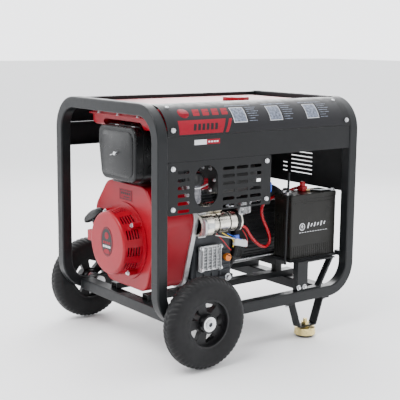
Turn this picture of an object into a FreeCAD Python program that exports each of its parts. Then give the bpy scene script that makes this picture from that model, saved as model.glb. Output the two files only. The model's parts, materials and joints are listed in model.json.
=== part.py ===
import FreeCAD, Part
import os
import re
from math import cos, pi, tan

import Sketcher
from FreeCAD import Placement, Rotation, Vector

# An open-frame, diesel engine driven welder: a bent-tube frame on two wheels and two feet,
# with an air-cooled engine on the left, its alternator on the right, a fuel tank under
# the top covers, a battery in front of the alternator and a control panel behind it.
# Millimetres. +X runs from the recoil starter to the alternator, +Y from the battery side
# to the control side, +Z up. The origin is on the floor, midway along and across.

SIZES = {
    # tube frame
    "frame_length": 720, "frame_width": 530, "frame_height": 590,
    "tube_size": 32, "tube_wall": 2, "tube_corner": 4, "bend_radius": 96,
    "cross_width": 40, "cross_left_from_end": 62, "cross_right_from_end": 89,
    "bed_spacing": 164, "bed_setback": 22, "bed_width": 30, "bed_height": 18, "bed_wall": 3,
    # sheet metal: top covers, tank rails, vent panel, end panel
    "sheet_wall": 2, "sheet_corner": 6, "sheet_inset": 3, "sheet_end_gap": 0.5, "cover_height": 81,
    "cover_bend": 76, "cover_return": 14, "tank_rail_height": 66, "tank_rail_depth": 26, "seam_gap": 0.6,
    "vent_length": 350, "vent_height": 138, "vent_fold": 12,
    "slot_column_left": 31.5, "slot_column_right": 180.25, "slot_column_pitch": 47.25,
    "slot_length": 40.25, "short_slot_length": 38.5,
    "slot_width": 9, "slot_pitch": 20.5, "slot_rows": 6, "slot_top_drop": 22,
    "window_from_left": 86, "window_length": 77, "window_height": 110, "window_drop": 14,
    "end_panel_height": 250, "end_panel_inset": 20, "louvre_length": 96,
    "louvre_width": 3.2, "louvre_pitch": 13, "louvre_rows": 6, "louvre_top_drop": 152,
    "louvre_from_near": 170, "short_louvre_from_near": 283, "short_louvre_length": 21,
    # fasteners
    "bolt_head": 10, "bolt_head_height": 3.5, "washer": 13, "washer_wall": 1.5, "bolt_inset": 16,
    # wheels and axles
    "wheel_diameter": 250, "wheel_width": 56, "wheel_gap": 8, "rim_diameter": 134,
    "rim_wall": 6, "rim_lip": 5, "web_wall": 16, "hub_diameter": 50, "hub_length": 50,
    "window_count": 5, "window_inner": 29, "window_outer": 52, "window_waist": 0.25,
    "window_spread": 0.38, "axle_diameter": 20, "axle_head": 32, "axle_head_height": 8,
    "axle_bore": 12, "axle_bore_depth": 24,
    "bearing_diameter": 40, "bearing_length": 12, "nut_across": 30, "nut_height": 11,
    "clip_diameter": 27, "clip_wall": 1.2, "clip_land": 1, "running_gap": 0.05, "side_gap": 0.5,
    "bore_gap": 0.1, "tyre_shoulder": 18,
    # feet
    "foot_from_left": 541, "foot_top_width": 118, "foot_base_width": 66,
    "foot_flange": 24, "foot_drop": 80, "foot_strap": 4, "foot_strap_width": 28,
    "stud_diameter": 12, "cup_diameter": 64, "cup_height": 20, "cup_wall": 2,
    "pad_diameter": 60, "foot_nut": 20, "foot_nut_height": 9, "foot_lock_height": 3,
    # fuel tank
    "tank_length": 612, "tank_width": 340, "tank_height": 66, "tank_wall": 1.5,
    "tank_corner": 38, "tank_edge": 16, "tank_from_left": 54, "tank_flange": 11,
    "tank_flange_wall": 3, "strap_width": 34, "strap_wall": 3, "strap_inset": 126,
    "filler_from_left": 428, "filler_from_centre": 48, "neck_diameter": 56,
    "neck_height": 8, "neck_wall": 2, "cap_diameter": 76, "cap_height": 10.5, "cap_wall": 3,
    "cap_gap": 0.5, "recess_height": 21, "recess_round": 14, "recess_gap": 4,
    # engine
    "crank_above_bed": 141, "mount_height": 20, "mount_diameter": 32, "case_from_left": 212,
    "case_length": 142, "case_width": 262, "case_height": 128, "case_wall": 9,
    "base_flange": 12, "base_wall": 12, "case_round": 10, "rib_wall": 4, "rib_depth": 4,
    "rib_count": 5, "post_count": 4, "rib_pitch": 14, "barrel_length": 112, "barrel_width": 150,
    "barrel_height": 212, "fin_depth": 9, "fin_wall": 3, "fin_pitch": 9, "fin_count": 13,
    "cylinder_bore": 86, "rocker_length": 86, "rocker_width": 128, "rocker_height": 36,
    "shaft_diameter": 34, "shroud_from_left": 72, "shroud_length": 118, "shroud_wall": 2.5,
    "shroud_top": 165, "shroud_top_half": 96, "shroud_shoulder": 78,
    "shroud_shoulder_half": 166, "shroud_bottom": 132, "shroud_bottom_half": 104,
    "shroud_round": 42, "plate_wall": 14, "plate_margin": 5,
    "recoil_from_left": 10, "recoil_radius": 96, "recoil_face_radius": 88,
    "recoil_flange_radius": 110, "recoil_flange_wall": 4, "recoil_wall": 2.5,
    "recoil_slot_width": 4.5, "recoil_slot_length": 26, "recoil_slot_pitch": 8,
    "recoil_slot_rows": 5, "recoil_slot_groups": 12, "recoil_slot_turn": 8,
    "lug_count": 4, "lug_turn": 37, "lug_reach": 98, "lug_radius": 8, "lug_length": 30, "pulley_radius": 76,
    "pulley_width": 12, "rope_diameter": 4, "rope_angle": 27, "rope_offset": 82,
    "rope_inside": 24, "guide_out": 58, "guide_length": 26, "guide_radius": 9,
    "grip_length": 112, "grip_radius": 15, "grip_out": 104, "grip_gap": 1,
    "flywheel_radius": 118, "flywheel_wall": 32, "flywheel_from_left": 104,
    "fan_hub_radius": 44, "fan_blade_wall": 5, "fan_blade_count": 12,
    # air cleaner
    "cleaner_from_left": 34, "cleaner_cover_depth": 30, "cleaner_box_depth": 96,
    "cleaner_near": 156, "cleaner_width": 190, "cleaner_bottom": 368,
    "cleaner_height": 150, "cleaner_wall": 3, "cleaner_round": 26, "cleaner_taper": 16,
    "cleaner_taper_height": 96, "cleaner_rim": 4, "knob_radius": 9, "element_radius": 50,
    "cleaner_gap": 0.5,
    # muffler and starter
    "muffler_length": 150, "muffler_radius": 44, "muffler_from_left": 222,
    "muffler_from_near": 86, "muffler_height": 378, "muffler_wall": 2, "exhaust_radius": 15,
    "starter_setback": 155, "starter_rise": 53, "starter_radius": 30,
    "starter_nose": 42, "starter_length": 96, "starter_cap": 9, "solenoid_radius": 17,
    "solenoid_length": 66, "dipstick_from_left": 328, "dipstick_height": 136,
    "dipstick_radius": 11, "dipstick_rod": 3, "dipstick_length": 70,
    # alternator
    "adapter_length": 40, "adapter_radius": 148, "adapter_wall": 9,
    "alternator_length": 196, "alternator_radius": 116, "alternator_wall": 16,
    "alternator_end": 34, "rotor_radius": 88, "rotor_length": 150, "shaft_end_diameter": 20,
    "end_slot_count": 10, "foot_block": 34,
    # battery and its tray
    "battery_from_right": 48, "battery_length": 179, "battery_width": 76,
    "battery_height": 178, "battery_lid_height": 15, "battery_from_near": 34,
    "battery_above_bend": -10, "battery_round": 4, "post_radius": 7, "post_height": 14,
    "black_post": 0.12, "red_post": 0.52, "post_depth": 0.7,
    "tray_wall": 4, "tray_margin": 5, "tray_lip": 4, "tray_leg": 20, "tray_bar": 14,
    "cable_radius": 4.5,
    # control panel
    "panel_gap": 4, "panel_length": 290, "panel_height": 240, "panel_depth": 76,
    "panel_bottom": 190, "panel_inset": 2, "panel_wall": 2, "front_wall": 3,
    "front_lip": 6, "socket_row": 0.5, "meter_row": 0.75, "stud_row": 0.2, "knob_row": 0.68,
    "switch_row": 0.85, "key_column": 0.42, "breaker_column": 0.6,
    "knob_diameter": 36, "socket_diameter": 54, "socket_pitch": 76,
    "socket_depth": 14, "flap_wall": 5, "terminal_radius": 16, "terminal_pitch": 76,
    "meter_size": 48, "hinge_radius": 3, "toggle_width": 10, "key_radius": 11,
}

# Places that many sub-parts share, as expressions on the sheet.
LEFT = "(-frame_length / 2)"
RIGHT = "(frame_length / 2)"
NEAR = "(-frame_width / 2)"
FAR = "(frame_width / 2)"
UNDER = "(wheel_diameter / 2 - tube_size / 2)"
TOP = f"({UNDER} + frame_height)"
BED_TOP = f"({UNDER} + tube_size + bed_height)"
CRANK_Z = f"({BED_TOP} + crank_above_bed)"
BASE_Z = f"({BED_TOP} + mount_height)"
CASE_LEFT = f"({LEFT} + case_from_left)"
CASE_RIGHT = f"({CASE_LEFT} + case_length)"
ALT_LEFT = f"({CASE_RIGHT} + adapter_length)"
ALT_RIGHT = f"({ALT_LEFT} + alternator_length)"
COVER_BOTTOM = f"({TOP} - cover_height)"
RAIL_TOP = f"({COVER_BOTTOM} - seam_gap)"
RAIL_BOTTOM = f"({RAIL_TOP} - tank_rail_height)"
PANEL_LEFT = f"({LEFT} + tube_size + sheet_end_gap)"
PANEL_SPAN = "(frame_length - 2 * tube_size - 2 * sheet_end_gap)"
WHEEL_X = f"({LEFT} + wheel_diameter / 2)"
WHEEL_Z = "(wheel_diameter / 2)"
CLEAN_X = f"({LEFT} + cleaner_from_left)"
CLEAN_Y = f"({NEAR} + cleaner_near)"
CLEAN_Z = f"({UNDER} + cleaner_bottom)"
AXIS_TURN = {"X": Rotation(Vector(0, 1, 0), 90), "Y": Rotation(Vector(1, 0, 0), -90),
             "Z": Rotation()}

doc = FreeCAD.newDocument("engine_driven_welder")
sheet = doc.addObject("Spreadsheet::Sheet", "sizes")
for row, (alias, number) in enumerate(SIZES.items(), 1):
    sheet.set(f"A{row}", alias)
    sheet.set(f"B{row}", str(number))
    sheet.setAlias(f"B{row}", alias)
doc.recompute()
subparts = []


# ---- binding and primitives -------------------------------------------------------------

def full(text):
    """The expression with each size's name pointed at the sheet."""
    return re.sub(r"[a-z]\w*", lambda found: "sizes." + found.group()
                  if found.group() in SIZES else found.group(), text)


def value(text):
    return float(sheet.evalExpression(full(text)))


def bind(item, name, text):
    item.setExpression(name, full(text))


def put(item, x, y, z):
    for name, text in (("x", x), ("y", y), ("z", z)):
        bind(item, f".Placement.Base.{name}", text)
    return item


def keep(item, label):
    """Name the finished sub-part; its label is its file's name."""
    item.Label = label
    subparts.append(item)
    return item


def box(x, y, z, length, width, height):
    item = doc.addObject("Part::Box", "block")
    bind(item, "Length", length)
    bind(item, "Width", width)
    bind(item, "Height", height)
    return put(item, x, y, z)


def rod(axis, x, y, z, radius, length):
    """A round bar from (x, y, z) along +axis."""
    item = doc.addObject("Part::Cylinder", "bar")
    item.Placement = Placement(Vector(), AXIS_TURN[axis])
    bind(item, "Radius", radius)
    bind(item, "Height", length)
    return put(item, x, y, z)


def cone(axis, x, y, z, radius, end_radius, length):
    item = doc.addObject("Part::Cone", "taper")
    item.Placement = Placement(Vector(), AXIS_TURN[axis])
    bind(item, "Radius1", radius)
    bind(item, "Radius2", end_radius)
    bind(item, "Height", length)
    return put(item, x, y, z)


def hexagon(axis, x, y, z, across, height):
    item = doc.addObject("Part::Prism", "nut")
    item.Polygon = 6
    item.Placement = Placement(Vector(), AXIS_TURN[axis])
    bind(item, "Circumradius", f"{across} / sqrt(3)")
    bind(item, "Height", height)
    return put(item, x, y, z)


def fuse(items):
    item = doc.addObject("Part::MultiFuse", "joined")
    item.Shapes = items
    item.Refine = True
    return item


def cut(base, tools):
    item = doc.addObject("Part::Cut", "trimmed")
    item.Base = base
    item.Tool = tools[0] if len(tools) == 1 else fuse(tools)
    item.Refine = True
    return item


def group(items):
    item = doc.addObject("Part::Compound", "set")
    item.Links = items
    return item


def tube(axis, x, y, z, radius, bore, length):
    return cut(rod(axis, x, y, z, radius, length), [rod(axis, x, y, z, bore, length)])


def rounded(base, radius, wanted):
    """Round the edges that wanted(edge) picks."""
    doc.recompute()
    item = doc.addObject("Part::Fillet", "rounded")
    item.Base = base
    size = value(radius)
    item.Edges = [(i, size, size) for i, edge in enumerate(base.Shape.Edges, 1) if wanted(edge)]
    return item


def runs_along(axis):
    def wanted(edge):
        if edge.Curve.TypeId != "Part::GeomLine":
            return False
        return abs(getattr(edge.Curve.Direction, axis.lower())) > 0.999
    return wanted


# ---- sketches and bodies ----------------------------------------------------------------

class Body:
    """A PartDesign body with outlines on its own origin planes."""

    def __init__(self, name):
        self.item = doc.addObject("PartDesign::Body", name)
        self.item.AllowCompound = False

    def origin(self, role):
        return [f for f in self.item.Origin.OriginFeatures if f.Role == role][0]

    def sketch(self, plane, at="0", u="0", v="0"):
        """A sketch on plane, at its signed distance from the origin along +X, +Y or +Z."""
        item = self.item.newObject("Sketcher::SketchObject", "outline")
        item.AttachmentSupport = [(self.origin(f"{plane}_Plane"), "")]
        item.MapMode = "FlatFace"
        bind(item, ".AttachmentOffset.Base.x", u)
        bind(item, ".AttachmentOffset.Base.y", v)
        bind(item, ".AttachmentOffset.Base.z", f"-({at})" if plane == "XZ" else at)
        return item

    def feature(self, kind, profile, **bound):
        item = self.item.newObject(f"PartDesign::{kind}", kind.lower())
        item.Profile = profile
        for name, text in bound.items():
            bind(item, name, text)
        return item

    def pad(self, profile, length, back=False):
        item = self.feature("Pad", profile, Length=length)
        item.Reversed = back
        return item

    def pocket(self, profile, length, back=False):
        item = self.feature("Pocket", profile, Length=length)
        item.Reversed = back
        return item

    def turn(self, profile, axis, kind="Revolution"):
        item = self.feature(kind, profile)
        item.ReferenceAxis = (profile, [axis])
        item.Angle = 360
        return item

    def ring(self, feature, axis, count):
        item = self.item.newObject("PartDesign::PolarPattern", "ring")
        item.Originals = [feature]
        item.Axis = (self.origin(f"{axis}_Axis"), [""])
        item.Angle = 360
        bind(item, "Occurrences", count)
        self.item.Tip = item
        return item

    def row(self, feature, axis, pitch, count, back=False):
        item = self.item.newObject("PartDesign::LinearPattern", "row")
        item.Originals = [feature]
        item.Direction = (self.origin(f"{axis}_Axis"), [""])
        bind(item, "Length", f"({pitch}) * ({count} - 1)")
        bind(item, "Occurrences", count)
        item.Reversed = back
        self.item.Tip = item
        return item

    def round(self, feature, radius, wanted, kind="Fillet"):
        doc.recompute()
        edges = [f"Edge{i}" for i, e in enumerate(feature.Shape.Edges, 1) if wanted(e)]
        item = self.item.newObject(f"PartDesign::{kind}", kind.lower())
        item.Base = (feature, edges)
        bind(item, "Radius" if kind == "Fillet" else "Size", radius)
        return item


def unit(start, end):
    step = end - start
    step.normalize()
    return step


def outline(sketch, corners, closed=True):
    """Straight sides through the corners (u, v) or (u, v, radius of the rounded corner)."""
    spots = [Vector(value(c[0]), value(c[1]), 0) for c in corners]
    count = len(corners)
    inner = range(count) if closed else range(1, count - 1)
    entry, leave, middle = list(spots), list(spots), {}
    for i in inner:
        if len(corners[i]) < 3:
            continue
        came = unit(spots[i - 1], spots[i])
        goes = unit(spots[i], spots[(i + 1) % count])
        half = came.getAngle(goes) / 2
        reach = value(corners[i][2]) * tan(half)
        entry[i] = spots[i] - came * reach
        leave[i] = spots[i] + goes * reach
        side = 1 if came.cross(goes).z > 0 else -1
        middle[i] = entry[i] + Vector(-came.y, came.x, 0) * (side * value(corners[i][2])), side
    rules, bounds = [], []

    def pin(geometry, point, corner):
        for axis, text in (("DistanceX", corner[0]), ("DistanceY", corner[1])):
            bounds.append((len(rules), text))
            rules.append(Sketcher.Constraint(axis, -1, 1, geometry, point, value(text)))

    sides = count if closed else count - 1
    lines = [sketch.addGeometry(Part.LineSegment(leave[i], entry[(i + 1) % count]))
             for i in range(sides)]
    if not closed:
        pin(lines[0], 1, corners[0])
        pin(lines[-1], 2, corners[-1])
    for i in inner:
        before, after = lines[i - 1], lines[i % sides]
        if i not in middle:
            rules.append(Sketcher.Constraint("Coincident", before, 2, after, 1))
            pin(before, 2, corners[i])
            continue
        centre, side = middle[i]
        ends = (entry[i], leave[i]) if side > 0 else (leave[i], entry[i])
        angles = [(p - centre).getAngle(Vector(1, 0, 0)) * (1 if p.y >= centre.y else -1)
                  for p in ends]
        circle = Part.Circle(centre, Vector(0, 0, 1), value(corners[i][2]))
        arc = sketch.addGeometry(Part.ArcOfCircle(circle, angles[0], angles[1]))
        first, last = (1, 2) if side > 0 else (2, 1)
        spot = sketch.addGeometry(Part.Point(spots[i]), True)
        pin(spot, 1, corners[i])
        rules.append(Sketcher.Constraint("PointOnObject", spot, 1, before))
        rules.append(Sketcher.Constraint("PointOnObject", spot, 1, after))
        rules.append(Sketcher.Constraint("Tangent", before, 2, arc, first))
        rules.append(Sketcher.Constraint("Tangent", arc, last, after, 1))
        bounds.append((len(rules), corners[i][2]))
        rules.append(Sketcher.Constraint("Radius", arc, value(corners[i][2])))
    start = sketch.ConstraintCount
    sketch.addConstraint(rules)
    for index, text in bounds:
        bind(sketch, f"Constraints[{start + index}]", text)


def rectangle(sketch, u, v, width, height, radius=None):
    """A rectangle from its lower left corner (u, v)."""
    corner = () if radius is None else (radius,)
    outline(sketch, [(u, v) + corner, (f"{u} + {width}", v) + corner,
                     (f"{u} + {width}", f"{v} + {height}") + corner,
                     (u, f"{v} + {height}") + corner])


def circle(sketch, u, v, radius):
    centre = Vector(value(u), value(v), 0)
    ring = sketch.addGeometry(Part.Circle(centre, Vector(0, 0, 1), value(radius)))
    start = sketch.ConstraintCount
    sketch.addConstraint([Sketcher.Constraint("DistanceX", -1, 1, ring, 3, centre.x),
                          Sketcher.Constraint("DistanceY", -1, 1, ring, 3, centre.y),
                          Sketcher.Constraint("Radius", ring, value(radius))])
    for index, text in enumerate((u, v, radius)):
        bind(sketch, f"Constraints[{start + index}]", text)


def rounded_block(name, x, y, z, length, width, height, corner, edge=None):
    """A block whose upright corners are rounded, and its top and bottom edges too."""
    body = Body(name)
    profile = body.sketch("XY", z)
    rectangle(profile, x, y, length, width, corner)
    pad = body.pad(profile, height)
    if edge is not None:
        low, high = value(z), value(f"{z} + {height}")
        body.round(pad, edge, lambda e: e.BoundBox.ZLength < 0.01
                   and min(abs(e.BoundBox.ZMin - low), abs(e.BoundBox.ZMin - high)) < 0.01)
    return body.item


def bent_tube(name, plane, at, path):
    """A square tube swept along path, an open outline on plane, with a tube's wall."""
    body = Body(name)
    spine = body.sketch(plane, at)
    outline(spine, path, closed=False)
    for kind, size, radius in (("AdditivePipe", "tube_size", "tube_corner"),
                               ("SubtractivePipe", "tube_size - 2 * tube_wall",
                                "tube_corner - tube_wall")):
        profile = body.sketch("XY", path[0][1])
        u, v = (at, path[0][0]) if plane == "YZ" else (path[0][0], at)
        rectangle(profile, f"{u} - ({size}) / 2", f"{v} - ({size}) / 2", size, size, radius)
        pipe = body.feature(kind, profile)
        pipe.Spine = (spine, [])
        pipe.Transition = "Transformed"
    return body


# ---- tube frame -------------------------------------------------------------------------

POST_FOOT = f"({UNDER} + bend_radius + tube_size)"
HALF = "tube_size / 2"
BEND = f"(bend_radius - {HALF})"


def hoop(name, x):
    """An end hoop: two posts and a top bar bent from one tube."""
    near, far, top = f"{NEAR} + {HALF}", f"{FAR} - {HALF}", f"{TOP} - {HALF}"
    path = [(near, POST_FOOT), (near, top, BEND), (far, top, BEND), (far, POST_FOOT)]
    keep(bent_tube(name, "YZ", x, path).item, name)


def rail(name, y):
    """A bottom rail whose ends turn up to meet the posts, bored for the wheel's axle."""
    left, right, low = f"{LEFT} + {HALF}", f"{RIGHT} - {HALF}", f"{UNDER} + {HALF}"
    path = [(left, POST_FOOT), (left, low, BEND), (right, low, BEND), (right, POST_FOOT)]
    bent = bent_tube(f"{name}_tube", "XZ", y, path).item
    bore = rod("Y", WHEEL_X, f"{y} - tube_size", WHEEL_Z, "axle_diameter / 2 + bore_gap",
               "2 * tube_size")
    keep(cut(bent, [bore]), name)


def cross_tubes():
    bars = []
    for x in (f"{LEFT} + cross_left_from_end", f"{RIGHT} - cross_right_from_end - cross_width"):
        length = "frame_width - 2 * tube_size"
        outer = box(x, f"{NEAR} + tube_size", UNDER, "cross_width", length, "tube_size")
        inner = box(f"{x} + tube_wall", f"{NEAR} + tube_size", f"{UNDER} + tube_wall",
                    "cross_width - 2 * tube_wall", length, "tube_size - 2 * tube_wall")
        bars.append(cut(rounded(outer, "tube_corner", runs_along("Y")), [inner]))
    keep(group(bars), "cross_tubes")


def bed_channels():
    """Two channels, open side down, that carry the engine and alternator."""
    start = f"({LEFT} + cross_left_from_end + bed_setback)"
    length = "(frame_length - cross_left_from_end - cross_right_from_end - bed_setback)"
    channels = []
    for side in (-1, 1):
        y = f"{side} * bed_spacing / 2 - bed_width / 2"
        z = f"{UNDER} + tube_size"
        outer = box(start, y, z, length, "bed_width", "bed_height")
        inner = box(start, f"{y} + bed_wall", z, length, "bed_width - 2 * bed_wall",
                    "bed_height - bed_wall")
        channels.append(cut(outer, [inner]))
    keep(group(channels), "bed_channels")


# ---- sheet metal ------------------------------------------------------------------------

def tank_rail(name, side):
    """A folded channel between the posts, open towards the inside."""
    face = NEAR if side < 0 else FAR
    inward = f"({-side} * 1)"
    out = f"{face} + {inward} * sheet_inset"
    deep = f"{out} + {inward} * tank_rail_depth"
    skin = f"{out} + {inward} * sheet_wall"
    corners = [(out, RAIL_BOTTOM), (deep, RAIL_BOTTOM), (deep, f"{RAIL_BOTTOM} + sheet_wall"),
               (skin, f"{RAIL_BOTTOM} + sheet_wall"), (skin, f"{RAIL_TOP} - sheet_wall"),
               (deep, f"{RAIL_TOP} - sheet_wall"), (deep, RAIL_TOP), (out, RAIL_TOP)]
    body = Body(name)
    profile = body.sketch("YZ", PANEL_LEFT)
    outline(profile, corners)
    body.pad(profile, PANEL_SPAN)
    keep(body.item, name)


def top_cover(name, side):
    """A cover that wraps over the top edge, with a fold down along its inner edge."""
    face = NEAR if side < 0 else FAR
    inward = f"({-side} * 1)"
    out = f"{face} + {inward} * sheet_inset"
    skin = f"{out} + {inward} * sheet_wall"
    end = f"{face} + {inward} * bend_radius"
    top = f"{TOP} - sheet_inset"
    corners = [(out, COVER_BOTTOM), (out, top, "cover_bend"),
               (end, top), (end, f"{top} - cover_return"),
               (f"{end} - {inward} * sheet_wall", f"{top} - cover_return"),
               (f"{end} - {inward} * sheet_wall", f"{top} - sheet_wall"),
               (skin, f"{top} - sheet_wall", "cover_bend - sheet_wall"),
               (skin, COVER_BOTTOM)]
    body = Body(name)
    profile = body.sketch("YZ", PANEL_LEFT)
    outline(profile, corners)
    body.pad(profile, PANEL_SPAN)
    keep(body.item, name)


def vent_panel():
    """The slotted guard in front of the muffler, with a window over the intake side."""
    body = Body("vent_panel")
    face = f"{NEAR} + sheet_inset + sheet_wall"
    top = f"{RAIL_BOTTOM} - seam_gap"
    low = f"{top} - vent_height"
    profile = body.sketch("XZ", face)
    rectangle(profile, PANEL_LEFT, low, "vent_length", "vent_height", "sheet_corner")
    body.pad(profile, "sheet_wall")
    fold = body.sketch("YZ", f"{PANEL_LEFT} + vent_fold")
    rectangle(fold, face, low, "vent_fold", "sheet_wall")
    body.pad(fold, "vent_length - 2 * vent_fold")
    window = body.sketch("XZ", f"{NEAR}")
    rectangle(window, f"{PANEL_LEFT} + window_from_left", f"{top} - window_drop - window_height",
              "window_length", "window_height", "window_length * 0.45")
    body.pocket(window, "tube_size / 2")
    columns = [("slot_column_left", "short_slot_length")]
    columns += [(f"slot_column_right + {step} * slot_column_pitch", "slot_length") for step in range(3)]
    for start, length in columns:
        slot = body.sketch("XZ", NEAR)
        rectangle(slot, f"{PANEL_LEFT} + {start}", f"{top} - slot_top_drop - slot_width",
                  length, "slot_width", "slot_width * 0.45")
        body.row(body.pocket(slot, "tube_size / 2"), "Z", "slot_pitch", "slot_rows", back=True)
    keep(body.item, "vent_panel")


def end_panel():
    """The louvred sheet inside the alternator end's hoop."""
    x = f"{RIGHT} - end_panel_inset"
    width = "(frame_width - 2 * tube_size - 2 * sheet_end_gap)"
    y = f"{NEAR} + tube_size + sheet_end_gap"
    top = f"{TOP} - tube_size - sheet_end_gap"
    low = f"{top} - end_panel_height"
    body = Body("end_panel")
    profile = body.sketch("YZ", x)
    corner = "(bend_radius - tube_size)"
    outline(profile, [(y, low), (f"{y} + {width}", low), (f"{y} + {width}", top, corner),
                      (y, top, corner)])
    body.pad(profile, "sheet_wall")
    louvre = body.sketch("YZ", f"{x} + 2 * sheet_wall")
    rectangle(louvre, f"{NEAR} + louvre_from_near", f"{top} - louvre_top_drop",
              "louvre_length", "louvre_width")
    body.row(body.pocket(louvre, "4 * sheet_wall"), "Z", "louvre_pitch", "louvre_rows", back=True)
    short = body.sketch("YZ", f"{x} + 2 * sheet_wall")
    rectangle(short, f"{NEAR} + short_louvre_from_near",
              f"{top} - louvre_top_drop - 3 * louvre_pitch", "short_louvre_length",
              "louvre_width")
    body.row(body.pocket(short, "4 * sheet_wall"), "Z", "louvre_pitch", "3", back=True)
    keep(body.item, "end_panel")


def panel_bolts():
    """Hexagon bolts that hold the covers and the vent panel, heads outwards."""
    face = "sheet_inset"
    bolts = []

    def bolt(x, z, side):
        reach = {-1: f"{NEAR} + {face}", 1: f"{FAR} - {face}"}[side]
        disc = f"{reach} - washer_wall" if side < 0 else reach
        head = f"{reach} - washer_wall - bolt_head_height" if side < 0 \
            else f"{reach} + washer_wall"
        bolts.append(fuse([rod("Y", x, disc, z, "washer / 2", "washer_wall"),
                           hexagon("Y", x, head, z, "bolt_head", "bolt_head_height")]))

    for side in (-1, 1):
        for x in (f"{PANEL_LEFT} + bolt_inset", f"{PANEL_LEFT} + {PANEL_SPAN} - bolt_inset"):
            bolt(x, f"{COVER_BOTTOM} + bolt_inset", side)
    top = f"{RAIL_BOTTOM} - seam_gap"
    for x in (f"{PANEL_LEFT} + bolt_inset", f"{PANEL_LEFT} + vent_length - bolt_inset"):
        for z in (f"{top} - bolt_inset", f"{top} - vent_height + bolt_inset"):
            bolt(x, z, -1)
    keep(group(bolts), "panel_bolts")


# ---- wheels and axles -------------------------------------------------------------------

TREAD_IN = f"({FAR} + wheel_gap)"
WHEEL_MID = f"({TREAD_IN} + wheel_width / 2)"
HUB_OUT = f"({WHEEL_MID} + hub_length / 2)"


def outward(side, distance, length="0"):
    """The low Y of something that starts at distance from the middle and runs outwards."""
    return f"-({distance}) - ({length})" if side < 0 else distance


def stub_axles():
    pins = []
    for side in (-1, 1):
        inner = f"({FAR} - tube_size)"
        length = f"({HUB_OUT} + side_gap + clip_wall + clip_land - {inner})"
        shank = rod("Y", WHEEL_X, outward(side, inner, length), WHEEL_Z, "axle_diameter / 2",
                    length)
        head = rod("Y", WHEEL_X, outward(side, f"{inner} - axle_head_height", "axle_head_height"),
                   WHEEL_Z, "axle_head / 2", "axle_head_height")
        collar_length = f"({HUB_OUT} - hub_length - side_gap - {FAR})"
        collar = rod("Y", WHEEL_X, outward(side, FAR, collar_length), WHEEL_Z,
                     "axle_head / 2", collar_length)
        end = f"({inner} + {length} - axle_bore_depth)"
        drill = rod("Y", WHEEL_X, outward(side, end, "2 * axle_bore_depth"), WHEEL_Z,
                    "axle_bore / 2", "2 * axle_bore_depth")
        pins.append(cut(fuse([shank, head, collar]), [drill]))
    keep(group(pins), "stub_axles")


def wheel_clips():
    """Retaining rings on the axle ends, just outside the bearings."""
    rings = []
    for side in (-1, 1):
        start = f"({HUB_OUT} + side_gap)"
        rings.append(tube("Y", WHEEL_X, outward(side, start, "clip_wall"), WHEEL_Z,
                          "clip_diameter / 2", "axle_diameter / 2", "clip_wall"))
    keep(group(rings), "wheel_clips")


def wheel(name, side):
    """Tyre, rim and a pair of bearings, each turned about the axle."""
    middle = WHEEL_MID if side > 0 else f"-{WHEEL_MID}"

    def turned(label, corners):
        body = Body(label)
        profile = body.sketch("XY")
        outline(profile, corners)
        body.turn(profile, "V_Axis")
        body.item.Placement = Placement()
        put(body.item, WHEEL_X, middle, WHEEL_Z)
        return body

    half, rim, out = "wheel_width / 2", "rim_diameter / 2", "wheel_diameter / 2"
    tyre = turned(f"{name}_tyre", [
        (rim, f"-({half} - rim_lip)"), (f"{rim} + tyre_shoulder", f"-{half}", "tyre_shoulder / 2"),
        (out, f"-{half}", "tyre_shoulder"), (out, half, "tyre_shoulder"),
        (f"{rim} + tyre_shoulder", half, "tyre_shoulder / 2"), (rim, f"{half} - rim_lip")])
    keep(tyre.item, f"{name}_tyre")

    edge, web, hub = f"{half} - rim_lip", "web_wall / 2", "hub_diameter / 2"
    bore = "bearing_diameter / 2"
    body = turned(f"{name}_rim", [
        (bore, "-hub_length / 2"), (hub, "-hub_length / 2"), (hub, f"-{web}"),
        (f"{rim} - rim_wall", f"-{web}"), (f"{rim} - rim_wall", f"-({edge})"),
        (rim, f"-({edge})"), (rim, edge), (f"{rim} - rim_wall", edge),
        (f"{rim} - rim_wall", web), (hub, web), (hub, "hub_length / 2"),
        (bore, "hub_length / 2")])
    window = body.sketch("XZ", "-wheel_width")
    waist, spread = "window_inner * window_waist", "window_outer * window_spread"
    outline(window, [("window_inner", f"-{waist}", "rim_wall / 3"),
                     ("window_outer", f"-{spread}", "rim_wall / 2"),
                     ("window_outer", spread, "rim_wall / 2"),
                     ("window_inner", waist, "rim_wall / 3")])
    body.ring(body.pocket(window, "2 * wheel_width"), "Y", "window_count")
    keep(body.item, f"{name}_rim")

    races = [tube("Y", WHEEL_X, f"{middle} {start}", WHEEL_Z, "bearing_diameter / 2",
                  "axle_diameter / 2 + running_gap", "bearing_length")
             for start in ("- hub_length / 2", "+ hub_length / 2 - bearing_length")]
    keep(group(races), f"{name}_bearings")


# ---- feet -------------------------------------------------------------------------------

FOOT_X = f"({LEFT} + foot_from_left)"
FOOT_BASE = f"({UNDER} - foot_drop)"


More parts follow.
